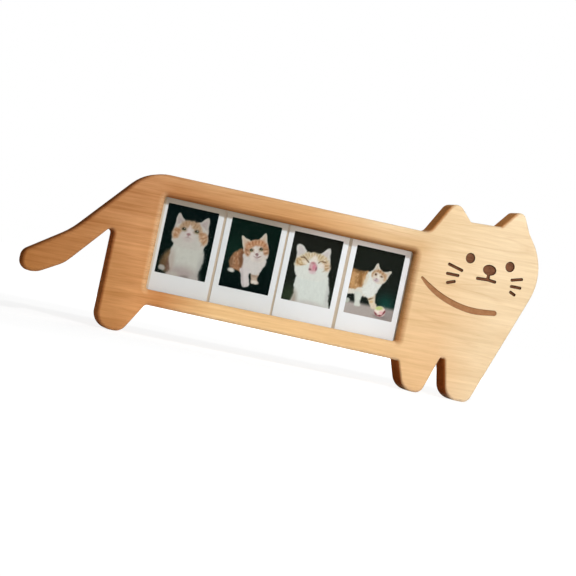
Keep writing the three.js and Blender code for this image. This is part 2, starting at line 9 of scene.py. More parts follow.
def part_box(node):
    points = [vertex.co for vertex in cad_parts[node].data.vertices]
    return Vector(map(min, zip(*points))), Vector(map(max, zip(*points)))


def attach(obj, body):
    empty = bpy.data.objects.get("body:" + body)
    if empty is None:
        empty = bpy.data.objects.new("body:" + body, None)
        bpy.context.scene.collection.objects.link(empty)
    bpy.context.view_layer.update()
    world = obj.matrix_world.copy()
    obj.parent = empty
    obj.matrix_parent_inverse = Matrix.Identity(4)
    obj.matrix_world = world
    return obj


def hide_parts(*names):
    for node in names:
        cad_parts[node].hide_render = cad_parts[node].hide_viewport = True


MM = 0.001

# The camera stands to the left of the front, level with the window, and is rolled.
CAMERA_DISTANCE = 1.7
CAMERA_AZIMUTH = 14.0
CAMERA_ELEVATION = -0.31
CAMERA_ROLL = 12.1
CAMERA_TARGET = Vector((0.00294, -0.01385, 0.06749))
CAMERA_MM_PER_PIXEL = 0.8795
CAMERA_CLIP = (0.05, 60)
IMAGE_WIDTH = 576
SENSOR_WIDTH = 36.0

# The lamps: where each stands, its width, its power and whether gloss shows it. All of them face
# the middle of the frame.
LAMPS = {
    "key": (Vector((0.16, -0.74, 0.68)), 0.045, 4.6, True),
    "front": (Vector((0.0, -1.3, 0.17)), 0.4, 4.4, False),
    "rim": (Vector((1.1, -0.45, 0.35)), 0.5, 2.5, True),
    "back": (Vector((0.45, 1.3, 0.4)), 0.6, 12.0, True),
}
LAMP_COLOUR = (1.0, 1.0, 0.995)
LAMP_TARGET = Vector((0.0, 0.0, 0.08))
SKY_COLOUR = [0.98, 0.99, 1.0]
SKY_LEVEL = 0.15

FLOOR_SIZE = 40
# The floor's tone as seen directly, and the paler one that lights the object from below.
FLOOR_TONE = 0.3
FLOOR_BOUNCE = 0.75
# The floor's own glow, as seen directly: less near the frame, so that its shadow shows.
FLOOR_GLOW_NEAR, FLOOR_GLOW_FAR = 0.8, 1.0
FLOOR_NEAR, FLOOR_FAR = 0.4, 1.1

# The engraving in the board: how deep it goes, and the boxes that hold the face and the chin curve.
ENGRAVING_DEPTH = 1.5 * MM
CHIN_DEPTH = 0.9 * MM
FLAT_TOLERANCE = 0.02 * MM
ENGRAVED_BOXES = [((0.1190, 0.078), (0.2010, 0.136)), ((0.2000, 0.098), (0.2200, 0.136))]
# A mark's floor is the faces whose normal's Y is below this limit. Its rim and the mark's walls are
# painted darker, as shade.
FLOOR_FACING = -0.9
# How wide the floor's rim is, and the tint of the painted shade on it and on the mark's walls.
SHADED_RIM = 0.8 * MM
RIM_SHADE_TINT = [0.3, 0.2, 0.1]

# Copies of the solids are welded, the facets of each flat face are joined, and the rest is shaded
# smooth, with sharp edges where faces meet at more than SHARP_DEGREES.
WELD_DISTANCE = 0.001 * MM
FLAT_DEGREES = 0.1
SHARP_DEGREES = 33.0

# The pictures on the prints, in mm from the cards' edges, and how the sheets lie in the cards.
PICTURE_SIDE_BORDER = 5.0
PICTURE_TOP_BORDER = 6.3
PICTURE_BOTTOM_BORDER = 18.3
PICTURE_DEPTH = 0.06 * MM
PICTURE_THICKNESS = 0.06 * MM
# The painting's grid in mm, and the steps between two points of a smooth outline.
PAINT_STEP = 0.4
OUTLINE_STEPS = 8

# The hardware on the back.
TURN_BUTTONS, HANGERS, HANGER_NAILS = 6, 2, 4


def linear(colours):
    """Colours as they look on screen, 0 to 255, as linear light."""
    shares = np.clip(np.asarray(colours, float) / 255, 0, 1)
    return np.where(shares <= 0.04045, shares / 12.92, ((shares + 0.055) / 1.055) ** 2.4)


def srgb(red, green, blue):
    return linear((red, green, blue)).tolist()


def placed(name, data):
    """A new object in the scene that shows the data."""
    item = bpy.data.objects.new(name, data)
    bpy.context.scene.collection.objects.link(item)
    return item


class Nodes:
    """A new material's or world's node tree, with short calls for what they share."""

    def __init__(self, name, world=False):
        self.owner = (bpy.data.worlds if world else bpy.data.materials).new(name)
        self.owner.use_nodes = True
        self.tree = self.owner.node_tree
        self.tree.nodes.clear()
        self.output = self.add("ShaderNodeOutputWorld" if world else "ShaderNodeOutputMaterial")
        self.place = self.add("ShaderNodeTexCoord")

    def add(self, kind, **settings):
        node = self.tree.nodes.new(kind)
        for key, value in settings.items():
            setattr(node, key, value)
        return node

    def put(self, value, socket):
        """Sets a socket to a number or a colour, or links an output to it."""
        if isinstance(value, (int, float)):
            socket.default_value = value
        elif isinstance(value, (list, tuple)):
            socket.default_value = (*value, 1.0)
        else:
            self.tree.links.new(value, socket)

    def filled(self, kind, **sockets):
        """The outputs of a node whose named sockets are filled; an underscore stands for a space."""
        node = self.add(kind)
        for key, value in sockets.items():
            self.put(value, node.inputs[key.replace("_", " ")])
        return node.outputs

    def join(self, kind, *sources):
        """A mix or add shader of its sources, in the order of its sockets."""
        node = self.add(kind)
        for source, socket in zip(sources, node.inputs):
            self.put(source, socket)
        return node.outputs[0]

    def finished(self, shader):
        """The material or world, with the shader as its surface."""
        self.put(shader, self.output.inputs["Surface"])
        return self.owner

    def principled(self, **sockets):
        return self.finished(self.filled("ShaderNodeBsdfPrincipled", **sockets)[0])

    def axes(self, coordinates):
        """X, Y and Z of the Object coordinates, or of the Normal as it lies in the object."""
        split = self.add("ShaderNodeSeparateXYZ")
        self.put(self.place.outputs[coordinates], split.inputs[0])
        return split.outputs

    def noise(self, scale, turn=(0, 0, 0), detail=3.0, roughness=0.55, distortion=0.0):
        """Noise whose object coordinates are turned, in degrees, and then scaled, per metre."""
        turned = self.add("ShaderNodeMapping", vector_type="TEXTURE")
        turned.inputs["Rotation"].default_value = [math.radians(a) for a in turn]
        self.put(self.place.outputs["Object"], turned.inputs["Vector"])
        scaled = self.add("ShaderNodeVectorMath", operation="MULTIPLY")
        scaled.inputs[1].default_value = scale
        self.put(turned.outputs[0], scaled.inputs[0])
        place = {"Vector": scaled.outputs[0], "Scale": 1.0}
        look = {"Detail": detail, "Roughness": roughness, "Distortion": distortion}
        return self.filled("ShaderNodeTexNoise", **place, **look)["Fac"]

    def math(self, operation, *values):
        node = self.add("ShaderNodeMath", operation=operation)
        for value, socket in zip(values, node.inputs):
            self.put(value, socket)
        return node.outputs[0]

    def weigh(self, first, second, share):
        """The sum of first times share and second times what is left of 1."""
        return self.math("ADD", self.math("MULTIPLY", first, share), self.math("MULTIPLY", second, 1 - share))

    def spread(self, value, low, high, to_low=0.0, to_high=1.0):
        """Maps low..high to to_low..to_high, held at its ends."""
        node = self.add("ShaderNodeMapRange")
        for number, socket in zip((value, low, high, to_low, to_high), node.inputs):
            self.put(number, socket)
        return node.outputs["Result"]

    def between(self, value, rise, fall):
        """1 from the end of the rise to the start of the fall, and 0 outside both."""
        return self.math("MULTIPLY", self.spread(value, *rise), self.spread(value, *fall, 1.0, 0.0))

    def ramp(self, value, low, high, stops):
        """A colour from stops at 0 to 1, which are reached from low to high."""
        node = self.add("ShaderNodeValToRGB")
        elements = node.color_ramp.elements
        while len(elements) < len(stops):
            elements.new(0.5)
        for element, (position, colour) in zip(elements, stops):
            element.position = position
            element.color = (*colour, 1.0)
        self.put(self.spread(value, low, high), node.inputs["Fac"])
        return node.outputs["Color"]

    def mix(self, share, first, second, blend="MIX"):
        node = self.add("ShaderNodeMix", data_type="RGBA", blend_type=blend)
        for value, socket in ((share, "Factor"), (first, 6), (second, 7)):
            self.put(value, node.inputs[socket])
        return node.outputs[2]

    def tinted(self, colour, tint, share=1.0):
        """The colour, multiplied by the tint where share is 1."""
        return self.mix(share, colour, tint, "MULTIPLY")

    def bump(self, height, distance):
        return self.filled("ShaderNodeBump", Strength=1.0, Distance=distance, Height=height)[0]

    def seen_directly(self):
        """1 for what the camera, gloss and glass see, 0 for the light that falls on the object."""
        path = self.add("ShaderNodeLightPath").outputs
        reflected = self.math("MAXIMUM", path["Is Glossy Ray"], path["Is Transmission Ray"])
        return self.math("MAXIMUM", path["Is Camera Ray"], reflected)


# The wood. Its broad tone runs along the cat in two ramps, one for the feet and one for the crown,
# and noise moves the borders between the tones to and fro. The ramps hold the wood's own tone and
# painted shade that deepens towards the tail, where the light falls off.
GRAIN_TURN = (0.0, -1.5, 0.0)
WOOD_ENDS = (-0.23, 0.225)
WOOD_FEET_TO_CROWN = (0.03, 0.138)
WOOD_DRIFT = 0.05
WOOD_TONES_BELOW = [
    (-0.225, (181, 119, 64)),
    (-0.195, (199, 137, 82)),
    (-0.150, (208, 149, 94)),
    (-0.130, (223, 161, 105)),
    (-0.105, (214, 149, 93)),
    (-0.055, (246, 205, 149)),
    (0.060, (241, 201, 148)),
    (0.150, (238, 198, 150)),
    (0.190, (243, 216, 176)),
]
WOOD_TONES_ABOVE = [
    (-0.180, (187, 129, 83)),
    (-0.135, (206, 150, 103)),
    (-0.080, (214, 166, 119)),
    (0.010, (224, 178, 128)),
    (0.045, (234, 195, 149)),
    (0.080, (240, 211, 170)),
    (0.125, (237, 209, 168)),
    (0.190, (243, 219, 182)),
]
# The strip of the upper rail beside the window's edge is painted a little browner, as shade next to the
# window: where that begins and ends, along the cat and in height.
RAIL_ALONG = ((-0.13, -0.112), (0.115, 0.135))
RAIL_ACROSS = ((0.1, 0.124), (0.131, 0.141))
RAIL_SHADE_TINT = [0.88, 0.79, 0.7]
# The grain's dark and light tints, at the tail and from the middle of the cat on.
GRAIN_FADE = (-0.15, 0.05)
GRAIN_DARK = ([0.75, 0.67, 0.57], [0.86, 0.81, 0.74])
GRAIN_LIGHT = ([1.08, 1.1, 1.14], [1.05, 1.05, 1.06])
# Growth rings: how often a slow noise is folded, and the tint of the thin lines at the folds.
RINGS, RING_TINT = 9.0, [0.74, 0.62, 0.5]
FLECK_TINT = [0.74, 0.64, 0.52]
# Long fine strokes, stronger above than below and fainter at the head: from where to where, and
# how strong they are there.
STROKE_TINT = [0.8, 0.7, 0.6]
STROKE_ACROSS = (0.03, 0.11, 0.1, 0.5)
STROKE_ALONG = (0.08, 0.13, 1.0, 0.25)

# Painted light and shade on the cut faces, by the way they look: the axis they look along, where that
# starts and ends, the tint, and the region it holds in.
CUT_FACE_SHADING = (
    ("X", -0.12, -0.75, [0.72, 0.41, 0.22], "sides"),
    ("Z", -0.1, -0.6, [1.08, 1.15, 1.3], "outside"),
    ("X", -0.1, -0.85, [0.70, 0.53, 0.40], "flare"),
    ("X", 0.0, 0.5, [1.1, 1.36, 1.7], "flare"),
    ("Z", -0.15, -0.85, [0.52, 0.37, 0.26], "flare top"),
)
# How far the window and its flare reach beyond the prints, and the width of that border.
WINDOW_MARGIN, WINDOW_BORDER = 7.2 * MM, 0.3 * MM
# The painted shade on the top of the flare is darkest at the head, and at the tail has this share of it.
FLARE_TOP_AT_TAIL = 0.45
# The sides' painted shade is less at the tail: from where to where, and how much there.
SIDES_ALONG = (-0.2, -0.02, 0.55, 1.0)
# The forelegs' sides are painted darker still, as shade, most at the feet.
FORELEG_SHADE = [0.34, 0.2, 0.13]
FORELEG_ACROSS = (0.0, 0.11, 1.0, 0.0)
FORELEG_ALONG = (-0.05, 0.03)


def along(nodes, place, tones):
    """The tones, each at its own place along the cat."""
    low, high = WOOD_ENDS
    stops = [((x - low) / (high - low), srgb(*tone)) for x, tone in tones]
    return nodes.ramp(place, low, high, stops)


def wood_tone_and_shade(nodes):
    """The board's broad colour: dark and warm at the tail, pale at the head; its darkness at the tail is
    partly painted shade.
    """
    x, _, z = nodes.axes("Object")
    drift = nodes.noise((5, 8, 22), detail=2)
    place = nodes.math("ADD", x, nodes.math("MULTIPLY_ADD", drift, WOOD_DRIFT, -WOOD_DRIFT / 2))
    below, above = along(nodes, place, WOOD_TONES_BELOW), along(nodes, place, WOOD_TONES_ABOVE)
    tone = nodes.mix(nodes.spread(z, *WOOD_FEET_TO_CROWN), below, above)
    # Painted shade on the rail's strip beside the window.
    rail = nodes.math("MULTIPLY", nodes.between(x, *RAIL_ALONG), nodes.between(z, *RAIL_ACROSS))
    return nodes.tinted(tone, RAIL_SHADE_TINT, rail)


def outside_window(nodes, low, high):
    """0 over the window and its flare, and 1 beyond them. The prints reach from low to high."""
    x, _, z = nodes.axes("Object")
    beyond = []
    for place, start, end in ((x, low.x, high.x), (z, low.z, high.z)):
        reach = (end - start) / 2 + WINDOW_MARGIN
        away = nodes.math("ABSOLUTE", nodes.math("SUBTRACT", place, (start + end) / 2))
        beyond.append(nodes.spread(away, reach, reach + WINDOW_BORDER))
    return nodes.math("MAXIMUM", *beyond)


def shade_cut_faces(nodes, colour):
    """Tints the cut faces by the way they look.

    Outside the window they are painted browner, as shade, where they look towards the tail, most at the
    forelegs, and paler, as light, where they look down. In its flare they are painted browner, as
    shade, where they look towards the tail and where they look down, and paler, as light, where they
    look towards the head.
    """
    look = nodes.axes("Normal")
    x, _, z = nodes.axes("Object")
    low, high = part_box("photo_print_1")[0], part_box("photo_print_4")[1]
    outside = outside_window(nodes, low, high)
    flare = nodes.math("SUBTRACT", 1.0, outside)
    regions = {
        "outside": outside,
        "sides": nodes.math("MULTIPLY", outside, nodes.spread(x, *SIDES_ALONG)),
        "flare": flare,
        "flare top": nodes.math("MULTIPLY", flare, nodes.spread(x, low.x, high.x, FLARE_TOP_AT_TAIL, 1.0)),
    }
    foreleg = nodes.math("MULTIPLY", nodes.spread(z, *FORELEG_ACROSS), nodes.spread(x, *FORELEG_ALONG))
    speckle = nodes.noise((300, 900, 900), detail=2)
    pores = nodes.ramp(speckle, 0.35, 0.65, [(0, [0.86, 0.84, 0.82]), (1, [1.05, 1.04, 1.03])])
    # Each tint is painted light where it is above 1 and painted shade where it is below 1.
    for axis, start, end, tint, region in CUT_FACE_SHADING:
        share = nodes.math("MULTIPLY", nodes.spread(look[axis], start, end), regions[region])
        cut = nodes.tinted(nodes.tinted(colour, tint), pores)
        if region == "sides":
            cut = nodes.tinted(cut, FORELEG_SHADE, foreleg)
        colour = nodes.mix(share, colour, cut)
    return colour


def beech():
    nodes = Nodes("beech")
    x, _, z = nodes.axes("Object")
    streaks = nodes.noise((26, 60, 430), GRAIN_TURN, detail=5, roughness=0.6, distortion=0.3)
    bands = nodes.noise((5, 20, 75), GRAIN_TURN, distortion=0.4)
    rings = nodes.noise((2.4, 8, 42), GRAIN_TURN, detail=1)
    strokes = nodes.noise((12, 40, 560), GRAIN_TURN, detail=2, distortion=0.5)
    flecks = nodes.noise((110, 500, 1500), GRAIN_TURN, detail=1)
    grain = nodes.weigh(nodes.spread(streaks, 0.34, 0.66), nodes.spread(bands, 0.32, 0.68), 0.55)
    tone = wood_tone_and_shade(nodes)
    fade = nodes.spread(x, *GRAIN_FADE)
    dark = nodes.tinted(tone, nodes.mix(fade, *GRAIN_DARK))
    light = nodes.tinted(tone, nodes.mix(fade, *GRAIN_LIGHT))
    colour = nodes.mix(grain, dark, light)
    layers = nodes.math("PINGPONG", nodes.math("MULTIPLY", rings, RINGS), 0.5)
    in_band = nodes.spread(bands, 0.35, 0.6, 1.0, 0.2)
    ring = nodes.math("MULTIPLY", nodes.spread(layers, 0.0, 0.1, 0.36, 0.0), in_band)
    colour = nodes.tinted(colour, RING_TINT, ring)
    strength = nodes.math("MULTIPLY", nodes.spread(z, *STROKE_ACROSS), nodes.spread(x, *STROKE_ALONG))
    stroke = nodes.math("MULTIPLY", nodes.spread(strokes, 0.54, 0.66), strength)
    colour = nodes.tinted(colour, STROKE_TINT, stroke)
    colour = nodes.tinted(colour, FLECK_TINT, nodes.spread(flecks, 0.66, 0.76, 0.0, 0.25))
    return nodes.principled(
        Base_Color=shade_cut_faces(nodes, colour),
        Roughness=nodes.spread(streaks, 0.3, 0.7, 0.62, 0.52),
        Specular_IOR_Level=0.0,
        Normal=nodes.bump(streaks, 0.05 * MM),
    )


def burnt(name, colour, edge_colour):
    """Wood browned by a laser: sooty, dry and finely uneven, with painted shade on the marks' walls and rims.
    """
    nodes = Nodes(name)
    char = nodes.noise((420, 420, 420), detail=4, roughness=0.6)
    lines = nodes.noise((120, 300, 1400), GRAIN_TURN, detail=2)
    mottle = nodes.weigh(char, lines, 0.6)
    brown = nodes.ramp(mottle, 0.34, 0.66, [(0, edge_colour), (1, colour)])
    rim_shade = nodes.add("ShaderNodeVertexColor", layer_name="rim_shade")
    return nodes.principled(
        Base_Color=nodes.tinted(brown, RIM_SHADE_TINT, rim_shade.outputs["Color"]),
        Roughness=nodes.spread(char, 0.3, 0.7, 0.72, 0.9),
        Specular_IOR_Level=0.2,
        Normal=nodes.bump(mottle, 0.12 * MM),
    )


# The cards' white is painted greyer towards the tail, as shade where the light falls off.
CARD_FALLOFF_TONES = [
    (-0.10, (222, 224, 225)),
    (-0.03, (223, 225, 226)),
    (0.03, (235, 237, 240)),
    (0.09, (242, 243, 246)),
]
# The cards are painted with warm shade along the window's top edge and at its end towards the tail,
# where the window's lip shades them, and this painted shade is darkest on the top edge over the two
# prints nearest the tail.
CARD_TOP, CARD_TOP_SHADE = (0.116, 0.1175), [1.04, 0.94, 0.86]
CARD_END, CARD_END_SHADE = (-0.1164, -0.1172), [0.92, 0.78, 0.62]
CARD_CORNER, CARD_CORNER_SHADE = (-0.02, 0.03, 1.0, 0.0), [0.72, 0.68, 0.6]


def film_card():
    nodes = Nodes("film_card")
    x, _, z = nodes.axes("Object")
    tooth = nodes.noise((900, 900, 900))
    cloud = nodes.noise((30, 30, 30), detail=2)
    stain = nodes.ramp(cloud, 0.3, 0.7, [(0, [0.97, 0.965, 0.96]), (1, [1.0, 1.0, 1.0])])
    card = nodes.tinted(along(nodes, x, CARD_FALLOFF_TONES), stain)
    # Painted shade along the window's top edge and at its end towards the tail, darker at the top over the
    # prints nearest the tail.
    top = nodes.spread(z, *CARD_TOP)
    card = nodes.tinted(card, CARD_TOP_SHADE, top)
    card = nodes.tinted(card, CARD_END_SHADE, nodes.spread(x, *CARD_END))
    corner = nodes.math("MULTIPLY", nodes.spread(x, *CARD_CORNER), top)
    return nodes.principled(
        Base_Color=nodes.tinted(card, CARD_CORNER_SHADE, corner),
        Roughness=nodes.spread(tooth, 0.3, 0.7, 0.34, 0.46),
        Specular_IOR_Level=0.1,
        Normal=nodes.bump(tooth, 0.02 * MM),
    )


def film_picture():
    nodes = Nodes("film_picture")
    paint = nodes.add("ShaderNodeVertexColor", layer_name="painting")
    dust = nodes.noise((1400, 1400, 1400), detail=2)
    film = nodes.ramp(dust, 0.3, 0.7, [(0, [0.94, 0.94, 0.94]), (1, [1.05, 1.05, 1.05])])
    return nodes.principled(
        Base_Color=nodes.tinted(paint.outputs["Color"], film),
        Roughness=nodes.spread(dust, 0.3, 0.7, 0.26, 0.34),
        Specular_IOR_Level=0.008,
    )


def clear_pane():
    """Clear acrylic: mostly seen through, with a reflection that grows at a glancing angle."""
    nodes = Nodes("clear_pane")
    smear = nodes.noise((24, 24, 60))
    gloss = nodes.filled("ShaderNodeBsdfGlossy", Roughness=nodes.spread(smear, 0.3, 0.7, 0.04, 0.12))[0]
    through = nodes.filled("ShaderNodeBsdfTransparent", Color=[0.988, 0.992, 0.99])[0]
    glance = nodes.filled("ShaderNodeLayerWeight", Blend=0.5)["Facing"]
    mirrored = nodes.math("MULTIPLY_ADD", nodes.math("POWER", glance, 5.0), 0.5, 0.001)
    return nodes.finished(nodes.join("ShaderNodeMixShader", mirrored, through, gloss))


def fibreboard():
    nodes = Nodes("fibreboard")
    fibres = nodes.noise((350, 350, 700), (0, 31, 0), detail=5, roughness=0.7, distortion=1.2)
    cloud = nodes.noise((22, 22, 22))
    tones = [(0, srgb(150, 118, 86)), (0.5, srgb(186, 155, 120)), (1, srgb(208, 180, 146))]
    return nodes.principled(
        Base_Color=nodes.ramp(nodes.weigh(fibres, cloud, 0.7), 0.32, 0.68, tones),
        Roughness=nodes.spread(fibres, 0.3, 0.7, 0.66, 0.84),
        Specular_IOR_Level=0.25,
        Normal=nodes.bump(fibres, 0.06 * MM),
    )


def kraft_card():
    """Raw corrugated card: brown paper with faint upright flutes and short fibres."""
    nodes = Nodes("kraft_card")
    fibres = nodes.noise((500, 500, 220), detail=4, roughness=0.7)
    flutes = nodes.noise((330, 330, 4), detail=1)
    mixed = nodes.weigh(fibres, flutes, 0.6)
    return nodes.principled(
        Base_Color=nodes.ramp(mixed, 0.34, 0.66, [(0, srgb(184, 165, 145)), (1, srgb(212, 196, 176))]),
        Roughness=0.9,
        Specular_IOR_Level=0.1,
        Normal=nodes.bump(mixed, 0.08 * MM),
    )


def metal(name, colour, worn, roughness):
    """Plated sheet metal with fine rolling lines and dull spots."""
    nodes = Nodes(name)
    lines = nodes.noise((2600, 2600, 160))
    spots = nodes.noise((260, 260, 260))
    shine = nodes.math("ADD", nodes.spread(lines, 0.3, 0.7, -0.08, 0.08), roughness)
    return nodes.principled(
        Base_Color=nodes.ramp(spots, 0.35, 0.7, [(0, colour), (1, worn)]),
        Metallic=1.0,
        Roughness=nodes.math("ADD", shine, nodes.spread(spots, 0.5, 0.75, 0.0, 0.15)),
        Normal=nodes.bump(lines, 0.01 * MM),
    )


# The pictures are painted on a grid of points by formula, as layers of soft-edged shapes.
class Painting:
    """Millimetres from the picture's middle, x to the right and z up. Colours are as on screen."""

    def __init__(self, width, height, seed):
        columns = round(width / PAINT_STEP) + 1
        rows = round(height / PAINT_STEP) + 1
        across = np.linspace(-width / 2, width / 2, columns)
        self.x, self.z = np.meshgrid(across, np.linspace(-height / 2, height / 2, rows))
        self.random = np.random.default_rng(seed)
        self.rgb = np.zeros((rows, columns, 3))
        self.fur = self.field(4, 2) * 0.4 + self.field(14, 4) * 0.6

    def field(self, tall, wide):
        """Smooth random values within 1.5 of 0, drawn out upwards where tall is more than wide."""
        values = self.random.standard_normal(self.x.shape)
        for axis, times in ((0, tall), (1, wide)):
            for _ in range(times):
                values = (np.roll(values, 1, axis) + 2 * values + np.roll(values, -1, axis)) / 4
        return values / np.abs(values).max() * 1.5

    def dusk(self, low, high, glow=None):
        """A dark studio background that changes a little from low to high, with an optional glow."""
        share = np.clip((self.z - self.z.min()) / np.ptp(self.z), 0, 1)[..., None]
        self.rgb[:] = np.array(low) * (1 - share) + np.array(high) * share
        if glow:
            (x, z, reach), colour = glow
            near = np.exp(-((self.x - x) ** 2 + (self.z - z) ** 2) / (2 * reach**2))[..., None]
            self.rgb += near * np.array(colour)
        self.rgb += self.field(3, 3)[..., None] * 2.0

    def oval(self, x, z, half_width, half_height, degrees=0.0):
        """How far each point lies inside an ellipse, in mm."""
        c, s = math.cos(math.radians(degrees)), math.sin(math.radians(degrees))
        u = (self.x - x) * c + (self.z - z) * s
        v = (self.z - z) * c - (self.x - x) * s
        return (1 - np.hypot(u / half_width, v / half_height)) * min(half_width, half_height)

    def blob(self, *points):
        """How far each point lies inside the smooth closed outline through the given points, in mm.

        A span of the outline goes from b to c, and its slope at each is that between its neighbours.
        """
        here = np.array(points, float)
        before, ahead, beyond = (np.roll(here, shift, 0) for shift in (1, -1, -2))
        t = np.arange(OUTLINE_STEPS)[:, None] / OUTLINE_STEPS
        spans = [
            b + 0.5 * t * (c - a + t * (2 * a - 5 * b + 4 * c - d + t * (3 * (b - c) + d - a)))
            for a, b, c, d in zip(before, here, ahead, beyond)
        ]
        outline = np.concatenate(spans)
        nearest = np.full(self.x.shape, np.inf)
        inside = np.zeros(self.x.shape, bool)
        for (x0, z0), (x1, z1) in zip(outline, np.roll(outline, -1, 0)):
            dx, dz = x1 - x0, z1 - z0
            share = np.clip(((self.x - x0) * dx + (self.z - z0) * dz) / (dx * dx + dz * dz + 1e-12), 0, 1)
            nearest = np.minimum(nearest, np.hypot(self.x - x0 - share * dx, self.z - z0 - share * dz))
            spanned = (z0 > self.z) != (z1 > self.z)
            inside ^= spanned & (self.x < x0 + dx * (self.z - z0) / (dz if dz else 1.0))
        return np.where(inside, nearest, -nearest)

    def lay(self, inside, colour, soft, strength=1.0, fuzz=0.5):
        """Paints where inside is above 0, with an edge as soft as given, in mm, roughened like fur."""
        cover = np.clip((inside + fuzz * self.fur) / soft + 0.5, 0, 1)
        cover = cover * cover * (3 - 2 * cover) * strength
        tone = 1 + 0.03 * self.fur * (fuzz > 0)
        self.rgb += cover[..., None] * (np.array(colour) * tone[..., None] - self.rgb)

    def dapple(self, inside, colour, tall, wide, strength):
        """Mottles what lies inside with a second colour, in drawn-out patches."""
        patches = np.clip(self.field(tall, wide) * 1.6, 0, 1)
        cover = np.clip(inside / 2.0, 0, 1) * patches * strength
        self.rgb += cover[..., None] * (np.array(colour) - self.rgb)

    def spot(self, x, z, half_width, half_height, colour, soft, strength=1.0, degrees=0.0, fuzz=0.3):
        self.lay(self.oval(x, z, half_width, half_height, degrees), colour, soft, strength, fuzz)

    def spots(self, places, half_width, half_height, colour, soft, strength):
        """Equal ovals, each at its own x and z and turned by its own angle."""
        for x, z, degrees in places:
            self.spot(x, z, half_width, half_height, colour, soft, strength, degrees)

    def ear(self, outline, fur, hollow, inset, soft, hollow_soft, strength=0.9):
        """An ear in the colour of the fur, and its hollow, which starts inset from its outline."""
        self.lay(outline, fur, soft)
        self.lay(outline - inset, hollow, hollow_soft, strength)


